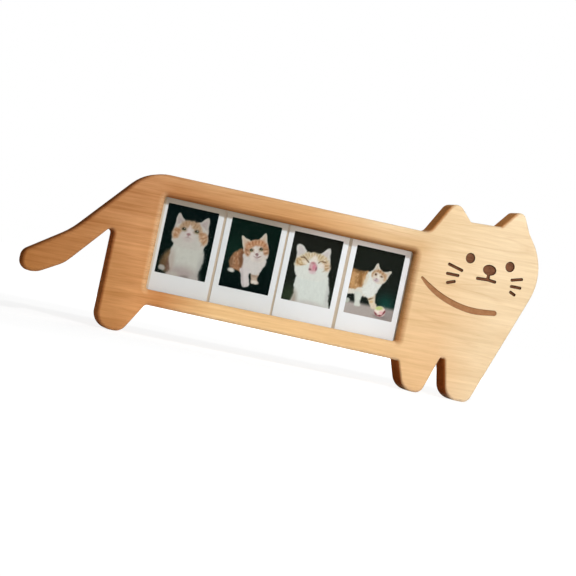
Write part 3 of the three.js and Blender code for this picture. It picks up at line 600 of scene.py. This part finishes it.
def sitting_kitten(art):
    """Sits upright with a broad white chest and looks up."""
    art.dusk((6, 19, 15), (5, 17, 17))
    flank = art.blob((-13, -8), (-18, -14), (-20.4, -21), (-18, -27), (-9, -28), (-8, -12))
    art.lay(flank, (96, 76, 54), 4.5, fuzz=1.0)
    art.spot(-14.6, -16, 2.4, 5, (122, 102, 74), 3.5, 0.6, 10)
    art.spot(-12, -22, 2.6, 6, (104, 76, 64), 3, 0.7, 8)
    hind_paw = art.blob((-19.8, -24), (-16.6, -23.6), (-14.4, -26), (-16, -28.2), (-19.8, -27.6))
    art.lay(hind_paw, (156, 154, 148), 2)
    chest = art.blob(
        (-11, 0), (-12.4, -9), (-12.9, -15), (-12, -20), (-10.2, -26), (-11.6, -33),
        (14.6, -33), (15.4, -26), (16.8, -19), (17.6, -12), (16, -4), (10, 2), (-4, 4),
    )
    art.lay(chest, (190, 190, 181), 2.0, fuzz=1.0)
    art.lay(np.minimum(chest, art.oval(1, -34, 17, 13)), (163, 150, 146), 10, 0.85)
    art.lay(np.minimum(chest, art.oval(-11, -20, 3.4, 11)), (166, 150, 140), 4, 0.6)
    art.lay(np.minimum(chest, art.oval(16, -22, 2.6, 12)), (160, 158, 156), 4, 0.6)
    art.spot(4.5, -30.6, 4.2, 2.0, (126, 118, 114), 3, 0.8)
    art.spot(-6, -29.6, 4, 2.6, (174, 168, 158), 3, 0.8)
    art.spot(11.4, -29.4, 3.6, 2.8, (170, 166, 160), 3, 0.8)
    left_ear = art.blob(
        (-13.9, 8), (-13.4, 15), (-13.4, 20), (-12.4, 23.6), (-11, 24.3), (-8.8, 22), (-5, 17.6), (-7, 10),
    )
    right_ear = art.blob(
        (6, 16.6), (9.8, 21), (12.8, 24), (14.9, 25), (16.2, 22.4), (16.4, 17), (17, 10), (10, 9),
    )
    for ear in (left_ear, right_ear):
        art.ear(ear, (182, 176, 168), (168, 156, 152), 1.6, 1.4, 2.4)
    head = art.blob(
        (-14, 8), (-14.4, 3), (-12.4, -2.4), (-6, -5), (4, -5.4), (12, -4.4), (16, -1.6), (18, 3.4),
        (17.4, 8.6), (15, 13.4), (9.4, 17.8), (3, 19), (-3, 18.9), (-7, 17.4), (-12, 13),
    )
    art.lay(head, (188, 184, 176), 1.8, fuzz=0.9)
    crown = art.blob(
        (-9, 13.6), (-5.6, 18.6), (0, 19.2), (6, 19), (10.6, 14.6), (9.6, 11.4), (4, 12.6), (-4, 12.4),
        (-9, 10.6),
    )
    art.lay(crown, (166, 136, 106), 3.4, 0.95, fuzz=0.9)
    art.dapple(crown, (198, 176, 150), 6, 2, 0.7)
    stripes = (
        (-6.6, 14.8, 30), (-4.2, 16.4, 16), (-1.6, 17.6, 6), (1.2, 17.6, -4), (4.0, 16.6, -16),
        (6.8, 15.0, -30),
    )
    art.spots(stripes, 0.45, 2.0, (118, 88, 62), 1.4, 0.5)
    blaze = art.blob((0.2, 15.4), (-1.6, 12), (-3.2, 8.6), (0, 5), (3.4, 8.6), (2, 12))
    art.lay(blaze, (200, 190, 186), 3.0)
    left = art.blob((-13.8, 10.2), (-10, 11), (-6.8, 9.2), (-7.6, 6), (-9.6, 2.4), (-13.6, 2))
    right = art.blob((9, 10.8), (13, 11.6), (16.6, 9.4), (17.4, 4), (15, 0.4), (11.6, 3), (9.2, 7))
    for patch in (left, right):
        patch = np.minimum(patch, head)
        art.lay(patch, (178, 140, 108), 3.4, 0.95, fuzz=0.9)
        art.dapple(patch, (146, 108, 76), 2, 4, 0.6)
    stripes = (
        (-12.4, 8.6, -24), (-9.6, 9.6, -16), (-12, 4.6, -34), (15.8, 7.6, 44), (14.6, 3.0, 60),
        (10.4, 9.8, 16),
    )
    art.spots(stripes, 2.1, 0.4, (132, 90, 60), 1.3, 0.55)
    flecks = ((-10.8, 6.6, -30), (-13.4, 6.4, -30), (13.2, 8.0, 40), (12.0, 4.4, 56), (14.6, 5.4, 56))
    art.spots(flecks, 1.3, 0.6, (212, 184, 158), 1.3, 0.8)
    art.spot(0.2, 4.6, 6.6, 4.0, (194, 184, 178), 4, 0.9)
    for x in (-5.1, 6.6):
        art.spot(x, 11.0, 2.6, 2.0, (132, 110, 88), 1.8, 0.85)
        art.spot(x, 10.9, 1.65, 1.4, (46, 44, 34), 1.0)
        art.spot(x, 9.7, 1.6, 0.5, (176, 166, 128), 1.0, 0.7)
        art.spot(x + 0.5, 11.6, 0.35, 0.35, (200, 200, 190), 0.5, 0.8)
    art.spots(((-2.8, 9.4, 36), (4.0, 9.4, -36)), 1.5, 0.5, (160, 140, 128), 1.2, 0.6)
    art.spot(-0.1, 7.2, 1.8, 1.2, (146, 112, 112), 1.3)
    art.spot(-0.1, 5.4, 0.4, 1.3, (150, 124, 124), 1.1, 0.8)
    art.spots(((-1.5, 4.2, 20), (1.3, 4.2, -20)), 1.5, 0.4, (152, 128, 127), 1.2, 0.6)
    art.spot(-0.1, 2.2, 3.4, 1.4, (178, 166, 160), 2.6, 0.6)


def crouching_kitten(art):
    """Comes forward on short legs and looks to one side."""
    art.dusk((5, 16, 15), (8, 26, 20), ((-16, 2, 9), (6, 14, 10)))
    body = art.blob(
        (-8, 5), (-12.6, 2.6), (-16, -2), (-17.6, -7), (-17, -12), (-15.4, -14.6), (-10, -14), (-6, -15),
        (0, -10), (0, 0),
    )
    art.lay(body, (150, 108, 78), 2.2, fuzz=1.0)
    art.dapple(body, (190, 150, 116), 7, 3, 0.8)
    art.dapple(body, (112, 76, 54), 7, 3, 0.6)
    art.spot(-7.2, -3.4, 2.4, 7, (104, 70, 50), 3.4, 0.85, 4)
    art.spot(-15.4, -8, 1.6, 5, (110, 84, 64), 2.6, 0.5, 4)
    art.spot(-14.6, -15.2, 3.2, 1.8, (204, 200, 192), 1.3, 1.0, -6)
    far_leg = art.blob(
        (3.6, -12), (11, -11), (10, -18), (11.8, -21.4), (10.6, -23.2), (5.4, -23), (4.6, -19),
    )
    art.lay(far_leg, (188, 166, 148), 1.4)
    art.spot(8.6, -21.6, 3.2, 1.6, (212, 204, 194), 1.5)
    art.spot(6.6, -16.2, 3.0, 1.2, (140, 118, 98), 2.2, 0.6)
    chest = art.blob(
        (-6, 2), (-5.6, -6), (-4.8, -12), (-1, -14.6), (4, -15), (9.8, -14.6), (13, -9), (15.2, -2), (10, 4),
    )
    art.lay(chest, (202, 196, 191), 1.6, fuzz=0.8)
    near_leg = art.blob(
        (-6.6, -12), (-5, -18), (-3.6, -24), (-1.6, -27.2), (1.8, -27.2), (4.2, -24.6), (2.2, -18), (2, -11),
    )
    art.lay(near_leg, (202, 195, 193), 1.4)
    art.spot(-3.6, -18, 0.8, 7, (170, 160, 158), 1.8, 0.6, 14)
    art.spots(((1.8, -26, 0), (-0.6, -26.2, 0)), 0.2, 1.4, (150, 140, 140), 0.7, 0.6)
    left_ear = art.blob(
        (-6.8, 3), (-8.8, 8), (-10.6, 13), (-11.4, 15.9), (-10.2, 16.4), (-6.6, 14.8), (-2, 13), (-3, 6),
    )
    right_ear = art.blob(
        (4.6, 14.6), (6.6, 19), (8.4, 22.2), (9.6, 22.8), (10.8, 21), (12.2, 16), (14.4, 10), (9, 10),
    )
    for ear in (left_ear, right_ear):
        art.ear(ear, (200, 190, 174), (190, 168, 146), 1.5, 1.3, 2.0)
    head = art.blob(
        (-6.4, 5), (-6, 1.6), (-1, -1.6), (3, -4), (7, -4.4), (12, -2.4), (15.2, 1.4), (15.6, 6.6),
        (14, 11.4), (10, 15), (4, 15.6), (-2, 13.8), (-5.6, 10),
    )
    art.lay(head, (204, 196, 188), 1.5, fuzz=0.7)
    crown = art.blob(
        (-6, 10), (-2, 13.6), (4, 15.8), (10, 15.2), (14.4, 10.4), (12, 9), (8, 10.4), (2.4, 9.2), (-1, 7),
        (-5.6, 6),
    )
    art.lay(crown, (178, 130, 96), 2.8, 0.95, fuzz=0.8)
    art.dapple(crown, (206, 164, 128), 6, 2, 0.7)
    stripes = (
        (-3.4, 10.4, 44), (-0.6, 12.0, 30), (2.2, 13.2, 16), (5.0, 13.6, 2), (7.8, 13.2, -12),
        (10.8, 12, -30),
    )
    art.spots(stripes, 0.45, 2.0, (136, 88, 58), 1.2, 0.7)
    left = art.blob((-6.4, 6), (-2.4, 6.4), (-0.6, 3), (-2.2, -0.4), (-5.8, 0.2))
    right = art.blob((9.6, 10.2), (14.6, 10.4), (15.6, 5.6), (12.6, 3.6), (10.4, 6.6))
    for patch in (left, right):
        patch = np.minimum(patch, head)
        art.lay(patch, (172, 130, 98), 2.4, 0.9)
        art.dapple(patch, (122, 82, 56), 2, 3, 0.8)
    stripes = ((-3.8, 3.6, -34), (-3.4, 1.6, -44), (-4.6, 5.2, -20), (13.2, 8.8, 16), (13.0, 5.4, 34))
    art.spots(stripes, 1.6, 0.4, (126, 84, 58), 1.1, 0.8)
    art.spots(((-2.6, 2.6, -34), (12.4, 7.2, 24)), 1.4, 0.6, (222, 192, 166), 1.2, 0.8)
    blaze = art.blob((1.8, 9.0), (3.4, 9.8), (5, 6), (8.6, 3), (7.6, -2), (2, -1.8), (0.2, 2))
    art.lay(blaze, (212, 204, 197), 2.4)
    for x, z in ((-0.2, 5.6), (8.3, 8.1)):
        art.spot(x, z, 2.3, 1.7, (146, 116, 88), 1.6, 0.8, 15)
        art.spot(x, z, 1.4, 1.4, (42, 42, 32), 0.9)
        art.spot(x, z - 1.1, 1.3, 0.4, (168, 160, 118), 0.9, 0.7, 15)
        art.spot(x + 0.4, z + 0.5, 0.35, 0.35, (214, 212, 202), 0.5, 0.8)
    art.spots(((2.2, 4.4, -40), (7.0, 5.8, 60)), 1.3, 0.5, (170, 146, 130), 1.2, 0.6)
    art.spot(5.4, 2.9, 1.4, 1.0, (128, 98, 100), 1.1)
    art.spot(5.8, 1.4, 0.35, 1.1, (132, 102, 104), 1.0, 0.8, -10)
    art.spot(4.4, 0.2, 1.6, 0.4, (138, 108, 108), 1.0, 0.8, -20)
    art.spot(7.6, 0.9, 1.7, 0.5, (120, 84, 86), 1.0, 0.85, 34)
    art.spot(6.4, -1.4, 2.6, 1.6, (188, 174, 170), 2.4, 0.7)


def yawning_kitten(art):
    """A close view with shut eyes, its tongue at its nose."""
    art.dusk((24, 30, 24), (26, 27, 23), ((-17, -25, 6), (18, 24, 14)))
    chest = art.blob(
        (-12, -3), (-13.2, -8), (-14.2, -12), (-13.8, -17), (-12.6, -23), (-11.4, -33), (19.4, -33),
        (19.9, -24), (18.8, -15), (16.8, -8), (14, -2), (0, 2),
    )
    art.lay(chest, (209, 214, 208), 1.8, fuzz=0.9)
    art.lay(np.minimum(chest, art.oval(-12.4, -30, 3.4, 8)), (140, 124, 108), 5, 0.7)
    art.lay(np.minimum(chest, art.oval(4, -34, 16, 6)), (184, 178, 174), 6, 0.8)
    art.lay(np.minimum(chest, art.oval(18.6, -18, 2, 14)), (178, 178, 176), 4, 0.6)
    left_ear = art.blob(
        (-16, 6), (-17.2, 12), (-18.4, 17), (-17.6, 19.6), (-15.4, 20.5), (-12.2, 19), (-8.6, 15), (-8, 8),
    )
    right_ear = art.blob(
        (3.6, 13.6), (6.6, 17.6), (9.4, 20.6), (11.8, 21.8), (13.1, 20.4), (13.4, 15), (14.4, 9), (8, 8),
    )
    for ear in (left_ear, right_ear):
        art.ear(ear, (206, 204, 198), (198, 190, 188), 1.8, 1.4, 2.4)
    head = art.blob(
        (-17.4, 5), (-17, 0), (-15.4, -5), (-12, -8.4), (0, -9.6), (10, -8), (15, -3.6), (15.6, 1),
        (15.4, 6), (13.6, 10.6), (9, 14.2), (3, 15.3), (-4, 15.2), (-9, 14), (-14.6, 10),
    )
    art.lay(head, (213, 215, 208), 1.6, fuzz=0.8)
    crown = art.blob(
        (-13, 10.6), (-8, 14.4), (0, 15.6), (8, 14.6), (13.4, 10.4), (13, 7.4), (4, 8), (1.6, 12),
        (-1.6, 12), (-5, 8), (-14, 7),
    )
    art.lay(np.minimum(crown, head), (200, 182, 150), 3.0, 0.95, fuzz=0.9)
    art.dapple(np.minimum(crown, head), (226, 216, 198), 5, 2, 0.8)
    stripes = (
        (-10.6, 10.4, 48), (-8.2, 11.8, 36), (-5.8, 12.8, 24), (-3.4, 13.6, 12), (-1.0, 14.0, 4),
        (1.4, 14.0, -4), (3.8, 13.6, -14), (6.2, 12.6, -28), (8.8, 11.4, -42), (11.2, 9.8, -52),
    )
    art.spots(stripes, 0.4, 1.7, (156, 128, 88), 1.1, 0.7)
    art.lay(art.blob((0, 13.4), (-2.2, 10), (-3.2, 6), (3.2, 6), (2.2, 10)), (222, 212, 202), 3.0, 0.9)
    left = art.blob((-16.8, 7.4), (-11, 8.4), (-6, 6.4), (-8.4, 3.6), (-13, 1.2), (-16.8, 1.8))
    right = art.blob((9, 7.8), (14.4, 8.4), (15.4, 3.6), (12.6, 1.0), (9.6, 4))
    for patch, coat in ((left, (204, 180, 142)), (right, (204, 178, 152))):
        patch = np.minimum(patch, head)
        art.lay(patch, coat, 3.0, 0.85, fuzz=0.9)
        art.dapple(patch, (164, 132, 92), 2, 4, 0.8)
    stripes = (
        (-15, 4.4, -26), (-13.4, 6.8, -20), (-12.4, 2.6, -10), (-9.6, 3.0, 14), (12.8, 6.2, 20),
        (12.8, 3.8, 30), (11.6, 2.0, 40),
    )
    art.spots(stripes, 1.9, 0.4, (156, 122, 80), 1.2, 0.75)
    art.spot(-8.2, 5.6, 2.8, 1.6, (226, 214, 198), 2, 0.8, -20)
    art.spot(7.2, 5.2, 2.8, 2.2, (224, 213, 204), 2, 0.8)
    left_lid = art.blob((-12.4, 9.6), (-9, 9.8), (-4.6, 6.4), (-5.2, 5.8), (-9.2, 8.7), (-12.2, 8.7))
    art.lay(left_lid, (112, 88, 66), 1.2)
    right_lid = art.blob((3.8, 7.4), (6.4, 9.6), (11, 9.2), (10.8, 8.4), (6.8, 8.6), (4.4, 6.8))
    art.lay(right_lid, (120, 94, 68), 1.2)
    muzzle = art.blob((-3, 5.4), (0, 7), (3, 5.4), (3.6, 1.6), (2.4, -1.4), (-2.6, -1.4), (-3.4, 1.6))
    art.lay(muzzle, (198, 158, 160), 2.4)
    art.spot(-0.4, 6.0, 1.9, 0.9, (176, 124, 128), 1.2)
    art.spot(0.9, 2.6, 1.4, 2.6, (204, 132, 148), 1.5, 1.0, -8)
    art.spot(-1.4, 3.0, 0.5, 1.7, (214, 178, 178), 1.2, 0.8, 10)
    art.spot(-2.4, 0.0, 1.1, 0.8, (118, 78, 84), 1.3)
    art.spot(3.1, 1.6, 0.7, 1.6, (140, 90, 102), 1.3)
    art.spot(0.3, -2.4, 2.8, 1.2, (206, 182, 186), 1.8, 0.9)


def playing_kitten(art):
    """Stands on a grey table, one paw at a small ball."""
    art.dusk((24, 30, 27), (27, 30, 25), ((14, -16, 6), (-2, 34, 30)))
    table = -20 - art.z
    art.lay(table, (172, 163, 158), 4.5, fuzz=0)
    art.lay(np.minimum(table, art.x - 12), (150, 141, 138), 8, 0.8, fuzz=0)
    back = art.blob(
        (-27, 8.6), (-20, 8.8), (-13, 8.4), (-8, 9.6), (-5, 5), (-8, -3), (-12, -7), (-18, -10), (-27, -12),
    )
    art.lay(back, (180, 138, 94), 1.8, fuzz=0.8)
    art.dapple(back, (212, 174, 128), 8, 3, 0.7)
    art.dapple(back, (134, 96, 60), 8, 3, 0.6)
    art.spot(-16, 7.6, 9, 1.2, (120, 86, 54), 2.2, 0.8, fuzz=0.8)
    art.spot(-20.4, 0, 1.6, 7, (200, 154, 104), 2.4, 0.7, 4)
    art.spot(-13.6, 1.4, 1.9, 5.6, (136, 96, 56), 2.4, 0.85, 6)
    art.spot(-9.6, 3, 1.6, 4.8, (196, 148, 98), 2.4, 0.6, 10)
    art.spot(-21.6, -19.4, 2.2, 2.2, (176, 180, 170), 1.8)
    belly = art.blob(
        (-27, -9.6), (-18, -8.4), (-12, -5.6), (-4, -7), (-4, -13), (-12, -14.2), (-18, -13), (-27, -14.4),
    )
    art.lay(belly, (216, 211, 200), 1.8, fuzz=0.8)
    leg = art.blob(
        (-16.6, -11), (-9.4, -11), (-10, -18), (-9, -22), (-11.6, -23), (-14.8, -22.4), (-15.2, -18),
    )
    art.lay(leg, (210, 213, 204), 1.6)
    paw = art.blob(
        (-4, -11), (2.6, -9), (4, -15.6), (6.4, -20.6), (4.6, -22.6), (2, -22.6), (-0.4, -19.4), (-3, -15.4),
    )
    art.lay(paw, (218, 204, 182), 1.4)
    art.spot(-0.8, -14.2, 2.8, 0.7, (112, 80, 50), 1.1, 0.9, 27)
    art.spot(0.4, -16.6, 1.8, 1.2, (206, 172, 126), 1.6, 0.8, 20)
    chest = art.blob(
        (-9, 7), (-4, 11), (2, 6), (6.4, 0.8), (5.2, -4), (2.8, -9.4), (-1, -13), (-6, -13), (-10.4, -8),
        (-9.8, 0),
    )
    art.lay(chest, (221, 222, 216), 1.8, fuzz=0.8)
    art.spot(-8.6, 1.6, 1.8, 5.6, (210, 196, 172), 2.6, 0.6, -10)
    left_ear = art.blob((-4.8, 8.6), (-2.6, 14.6), (-1, 18.1), (0, 18), (1.4, 15.4), (3.2, 12.2), (0, 9))
    right_ear = art.blob((5.2, 11), (9.6, 12.7), (13.5, 13.6), (12.4, 10.2), (10, 5.4), (7, 7.4))
    for ear in (left_ear, right_ear):
        art.ear(ear, (208, 202, 190), (190, 176, 158), 1.3, 1.2, 1.8, 0.8)
    head = art.blob(
        (-5, 7), (-3.4, 10.8), (-0.6, 13), (3, 13), (6.4, 11.6), (9.6, 9.6), (10.2, 6), (9.2, 2.8),
        (6, 0.8), (1.8, 0.4), (-2, 2.6),
    )
    art.lay(head, (216, 206, 192), 1.5, fuzz=0.6)
    brow = art.blob(
        (-4.6, 8), (-3, 11), (-0.4, 12.8), (3, 12.8), (6.4, 11.4), (9.4, 9.6), (9.8, 6), (7.6, 6.6),
        (5, 8.8), (2, 10.2), (-1.2, 10), (-3, 7.6),
    )
    art.lay(np.minimum(brow, head), (186, 150, 114), 1.8, 0.9)
    art.dapple(np.minimum(brow, head), (146, 108, 74), 4, 2, 0.8)
    art.spot(-3.6, 6.6, 1.0, 1.6, (190, 156, 122), 1.6, 0.8, 10)
    art.spot(8.4, 5.2, 1.3, 1.4, (196, 162, 130), 1.6, 0.8)
    stripes = ((-2.8, 10.4, -16), (0.6, 11.8, -14), (3.2, 11.4, -20), (5.8, 10.2, -30))
    art.spots(stripes, 0.4, 1.2, (134, 96, 64), 1.0, 0.7)
    art.spot(-0.5, 8.3, 1.5, 1.4, (160, 128, 100), 1.4, 0.7)
    art.spot(-0.5, 8.4, 0.9, 1.0, (74, 50, 40), 0.9)
    art.spot(5.2, 7.3, 1.6, 0.9, (160, 128, 104), 1.3, 0.8, -14)
    art.spot(5.2, 7.3, 1.0, 0.6, (92, 70, 56), 0.9, 0.9, -14)
    art.spot(2.2, 6.2, 1.1, 2.4, (224, 216, 208), 1.8, 0.9, 14)
    art.spot(1.0, 3.2, 2.4, 1.7, (200, 186, 188), 2.0)
    art.spot(0.9, 4.4, 0.9, 0.6, (160, 122, 128), 0.9)
    art.spot(0.4, 2.8, 1.2, 0.4, (156, 124, 132), 1.0, 0.8, -10)
    art.spot(10.4, -28.2, 5.6, 1.6, (132, 122, 120), 2.0, 0.8, fuzz=0)
    ball = art.oval(10.2, -23.6, 5.2, 4.8)
    art.lay(ball, (234, 216, 206), 1.1, fuzz=0)
    art.lay(np.minimum(ball, art.oval(8.8, -20.8, 3.6, 1.8, 8)), (196, 208, 138), 1.5, fuzz=0)
    for x, z, lean, reach in ((6.6, -26.2, -34, 2.6), (14.2, -23.8, 62, 2.8), (10.8, -27.2, 6, 1.6)):
        art.lay(np.minimum(ball, art.oval(x, z, reach, 0.8, lean)), (116, 46, 54), 1.3, 0.95, fuzz=0)
    art.spot(11.6, -24.6, 1.6, 1.2, (232, 176, 182), 1.6, 0.8, fuzz=0)
    art.spot(8.2, -24.0, 1.2, 1.0, (244, 236, 226), 1.4, 0.8, fuzz=0)


PAINTERS = [sitting_kitten, crouching_kitten, yawning_kitten, playing_kitten]


def closed_sheet(rows, columns):
    """The faces of a thin closed sheet whose front is a grid of points.

    Its back repeats the points round the front's edge and one in the middle, the hub of a fan. The
    numbers of the repeated points come first, and then the faces.
    """
    grid = np.arange(rows * columns).reshape(rows, columns)
    front = np.stack([grid[:-1, :-1], grid[:-1, 1:], grid[1:, 1:], grid[1:, :-1]], -1).reshape(-1, 4)
    edge = np.concatenate([grid[0, :-1], grid[:-1, -1], grid[-1, :0:-1], grid[:0:-1, 0]])
    back = grid.size + np.arange(len(edge))
    hub = np.full(len(back), back[-1] + 1)
    next_edge, next_back = np.roll(edge, -1), np.roll(back, -1)
    sides = np.stack([next_edge, edge, back, next_back], -1)
    fan = np.stack([next_back, back, hub], -1)
    repeated = np.append(edge, grid[rows // 2, columns // 2])
    return repeated, front.tolist() + sides.tolist() + fan.tolist()


def picture(index, painter, material):
    """The image on one print: a thin sheet with a dense painted front, in the card's recess."""
    card_low, card_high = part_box(f"photo_print_{index}")
    left = card_low.x / MM + PICTURE_SIDE_BORDER
    right = card_high.x / MM - PICTURE_SIDE_BORDER
    low = card_low.z / MM + PICTURE_BOTTOM_BORDER
    high = card_high.z / MM - PICTURE_TOP_BORDER
    art = Painting(right - left, high - low, seed=index)
    painter(art)
    x = (art.x + (left + right) / 2) * MM
    y = np.full(art.x.shape, card_low.y + PICTURE_DEPTH)
    z = (art.z + (low + high) / 2) * MM
    front = np.stack([x, y, z], -1).reshape(-1, 3)
    repeated, faces = closed_sheet(*art.x.shape)
    points = np.concatenate([front, front[repeated] + (0, PICTURE_THICKNESS, 0)])
    mesh = bpy.data.meshes.new(f"picture_{index}")
    mesh.from_pydata(points.tolist(), [], faces)
    light = linear(art.rgb).reshape(-1, 3)
    light = np.concatenate([light, light[repeated]])
    colours = np.concatenate([light, np.ones((len(light), 1))], -1)
    layer = mesh.color_attributes.new("painting", "FLOAT_COLOR", "POINT")
    layer.data.foreach_set("color", colours.astype(np.float32).ravel())
    mesh.materials.append(material)
    piece = placed(f"picture_{index}", mesh)
    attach(piece, "frame")


def welded(node):
    """A CAD node's mesh with its facets joined, as a bmesh."""
    shape = bmesh.new()
    shape.from_mesh(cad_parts[node].data)
    bmesh.ops.remove_doubles(shape, verts=shape.verts, dist=WELD_DISTANCE)
    flat = math.radians(FLAT_DEGREES)
    bmesh.ops.dissolve_limit(shape, angle_limit=flat, verts=shape.verts, edges=shape.edges)
    return shape


def engraved_kind(face, front):
    """0 for the board's own wood, 1 for the face's deep marks, 2 for the chin curve."""
    depth = max(v.co.y for v in face.verts) - front
    if depth < FLAT_TOLERANCE or depth > ENGRAVING_DEPTH:
        return 0
    middle = face.calc_center_median()
    for (x0, z0), (x1, z1) in ENGRAVED_BOXES:
        if x0 < middle.x < x1 and z0 < middle.z < z1:
            return 1 if depth > CHIN_DEPTH + FLAT_TOLERANCE else 2
    return 0


def shade_rims(shape):
    """Gives the floor of each deep mark a rim, and a value of 1, for painted shade, on the mark's walls and
    so along the rim's outer edge.
    """
    deep = [face for face in shape.faces if face.material_index == 1]
    floors = [face for face in deep if face.normal.y < FLOOR_FACING]
    bmesh.ops.inset_region(
        shape, faces=floors, thickness=SHADED_RIM, use_boundary=True, use_even_offset=True,
    )
    rim_shade = shape.verts.layers.float_color.new("rim_shade")
    for vertex in shape.verts:
        vertex[rim_shade] = (0.0, 0.0, 0.0, 1.0)
    # The walls get the full painted shade.
    for face in shape.faces:
        if face.material_index == 1 and face.normal.y > FLOOR_FACING:
            for vertex in face.verts:
                vertex[rim_shade] = (1.0, 1.0, 1.0, 1.0)


def new_piece(name, shape, materials, node, body):
    """The shape as a smooth piece that stands for its CAD node."""
    for face in shape.faces:
        face.smooth = True
    for edge in shape.edges:
        edge.smooth = edge.calc_face_angle(0.0) < math.radians(SHARP_DEGREES)
    mesh = bpy.data.meshes.new(name)
    shape.to_mesh(mesh)
    shape.free()
    for material in materials:
        mesh.materials.append(material)
    piece = placed(name, mesh)
    normals = piece.modifiers.new("normals", "WEIGHTED_NORMAL")
    normals.keep_sharp = True
    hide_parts(node)
    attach(piece, body)


def wooden_board():
    shape = welded("cat_board")
    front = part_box("cat_board")[0].y
    for face in shape.faces:
        face.material_index = engraved_kind(face, front)
    shade_rims(shape)
    materials = [
        beech(),
        burnt("burnt_face", srgb(133, 88, 61), srgb(98, 59, 38)),
        burnt("burnt_chin", srgb(175, 127, 87), srgb(152, 102, 65)),
    ]
    new_piece("board", shape, materials, "cat_board", "frame")


def dressed(node, name, material, body):
    shape = welded(node)
    for face in shape.faces:
        face.material_index = 0
    new_piece(name, shape, [material], node, body)


def hardware():
    steel = metal("zinc_steel", srgb(164, 166, 170), srgb(128, 128, 127), 0.36)
    brass = metal("brass_plate", srgb(200, 162, 92), srgb(152, 116, 62), 0.32)
    for i in range(1, TURN_BUTTONS + 1):
        dressed(f"turn_button_{i}", f"button_{i}_plate", steel, f"button_{i}")
        dressed(f"turn_button_screw_{i}", f"button_screw_{i}", brass, "frame")
    for i in range(1, HANGERS + 1):
        dressed(f"sawtooth_hanger_{i}", f"hanger_strip_{i}", brass, "frame")
    for i in range(1, HANGER_NAILS + 1):
        dressed(f"hanger_nail_{i}", f"hanger_pin_{i}", steel, "frame")


def give_material(node, material):
    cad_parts[node].data.materials[0] = material


def prints():
    card, film = film_card(), film_picture()
    for number, painter in enumerate(PAINTERS, 1):
        give_material(f"photo_print_{number}", card)
        picture(number, painter, film)


def camera():
    data = bpy.data.cameras.new("camera")
    data.sensor_width = SENSOR_WIDTH
    data.lens = SENSOR_WIDTH * CAMERA_DISTANCE / MM / CAMERA_MM_PER_PIXEL / IMAGE_WIDTH
    data.clip_start, data.clip_end = CAMERA_CLIP
    item = placed("camera", data)
    azimuth, elevation, roll = (math.radians(a) for a in (CAMERA_AZIMUTH, CAMERA_ELEVATION, CAMERA_ROLL))
    forward = Vector((
        math.sin(azimuth) * math.cos(elevation),
        math.cos(azimuth) * math.cos(elevation),
        -math.sin(elevation),
    ))
    item.location = CAMERA_TARGET - forward * CAMERA_DISTANCE
    item.rotation_mode = "QUATERNION"
    item.rotation_quaternion = Quaternion(forward, -roll) @ forward.to_track_quat("-Z", "Y")
    bpy.context.scene.camera = item


def lamps():
    for name, (place, size, power, in_gloss) in LAMPS.items():
        data = bpy.data.lights.new(name, "AREA")
        data.shape = "DISK"
        data.size = size
        data.energy = power
        data.color = LAMP_COLOUR
        lamp = placed(name, data)
        lamp.visible_glossy = in_gloss
        lamp.location = place
        lamp.rotation_mode = "QUATERNION"
        lamp.rotation_quaternion = (LAMP_TARGET - place).to_track_quat("-Z", "Y")


def sky():
    nodes = Nodes("sky", world=True)
    light = nodes.filled("ShaderNodeBackground", Color=SKY_COLOUR, Strength=SKY_LEVEL)[0]
    white = nodes.filled("ShaderNodeBackground", Color=[1.0, 1.0, 1.0])[0]
    shown = nodes.join("ShaderNodeMixShader", nodes.seen_directly(), light, white)
    bpy.context.scene.world = nodes.finished(shown)


def floor():
    bpy.ops.mesh.primitive_plane_add(size=FLOOR_SIZE, location=(0, 0, 0))
    item = bpy.context.object
    item.name = "floor"
    nodes = Nodes("pale_floor")
    away = nodes.add("ShaderNodeVectorMath", operation="LENGTH")
    nodes.put(nodes.place.outputs["Object"], away.inputs[0])
    strength = nodes.spread(away.outputs["Value"], FLOOR_NEAR, FLOOR_FAR, FLOOR_GLOW_NEAR, FLOOR_GLOW_FAR)
    plain = nodes.filled("ShaderNodeBsdfDiffuse", Color=[FLOOR_TONE] * 3)[0]
    glow = nodes.filled("ShaderNodeEmission", Strength=strength)[0]
    seen = nodes.join("ShaderNodeAddShader", plain, glow)
    bounce = nodes.filled("ShaderNodeBsdfDiffuse", Color=[FLOOR_BOUNCE] * 3)[0]
    shown = nodes.join("ShaderNodeMixShader", nodes.seen_directly(), bounce, seen)
    item.data.materials.append(nodes.finished(shown))


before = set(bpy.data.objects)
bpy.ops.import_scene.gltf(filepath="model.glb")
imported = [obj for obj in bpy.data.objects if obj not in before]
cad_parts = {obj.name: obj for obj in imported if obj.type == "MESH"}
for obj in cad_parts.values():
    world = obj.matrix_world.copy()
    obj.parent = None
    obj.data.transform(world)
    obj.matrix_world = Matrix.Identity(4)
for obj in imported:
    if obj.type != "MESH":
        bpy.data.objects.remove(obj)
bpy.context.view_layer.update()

camera()
lamps()
sky()
floor()
wooden_board()
prints()
give_material("window_pane", clear_pane())
give_material("backing_card", kraft_card())
give_material("back_panel", fibreboard())
hardware()

bpy.context.scene.view_settings.view_transform = "Standard"
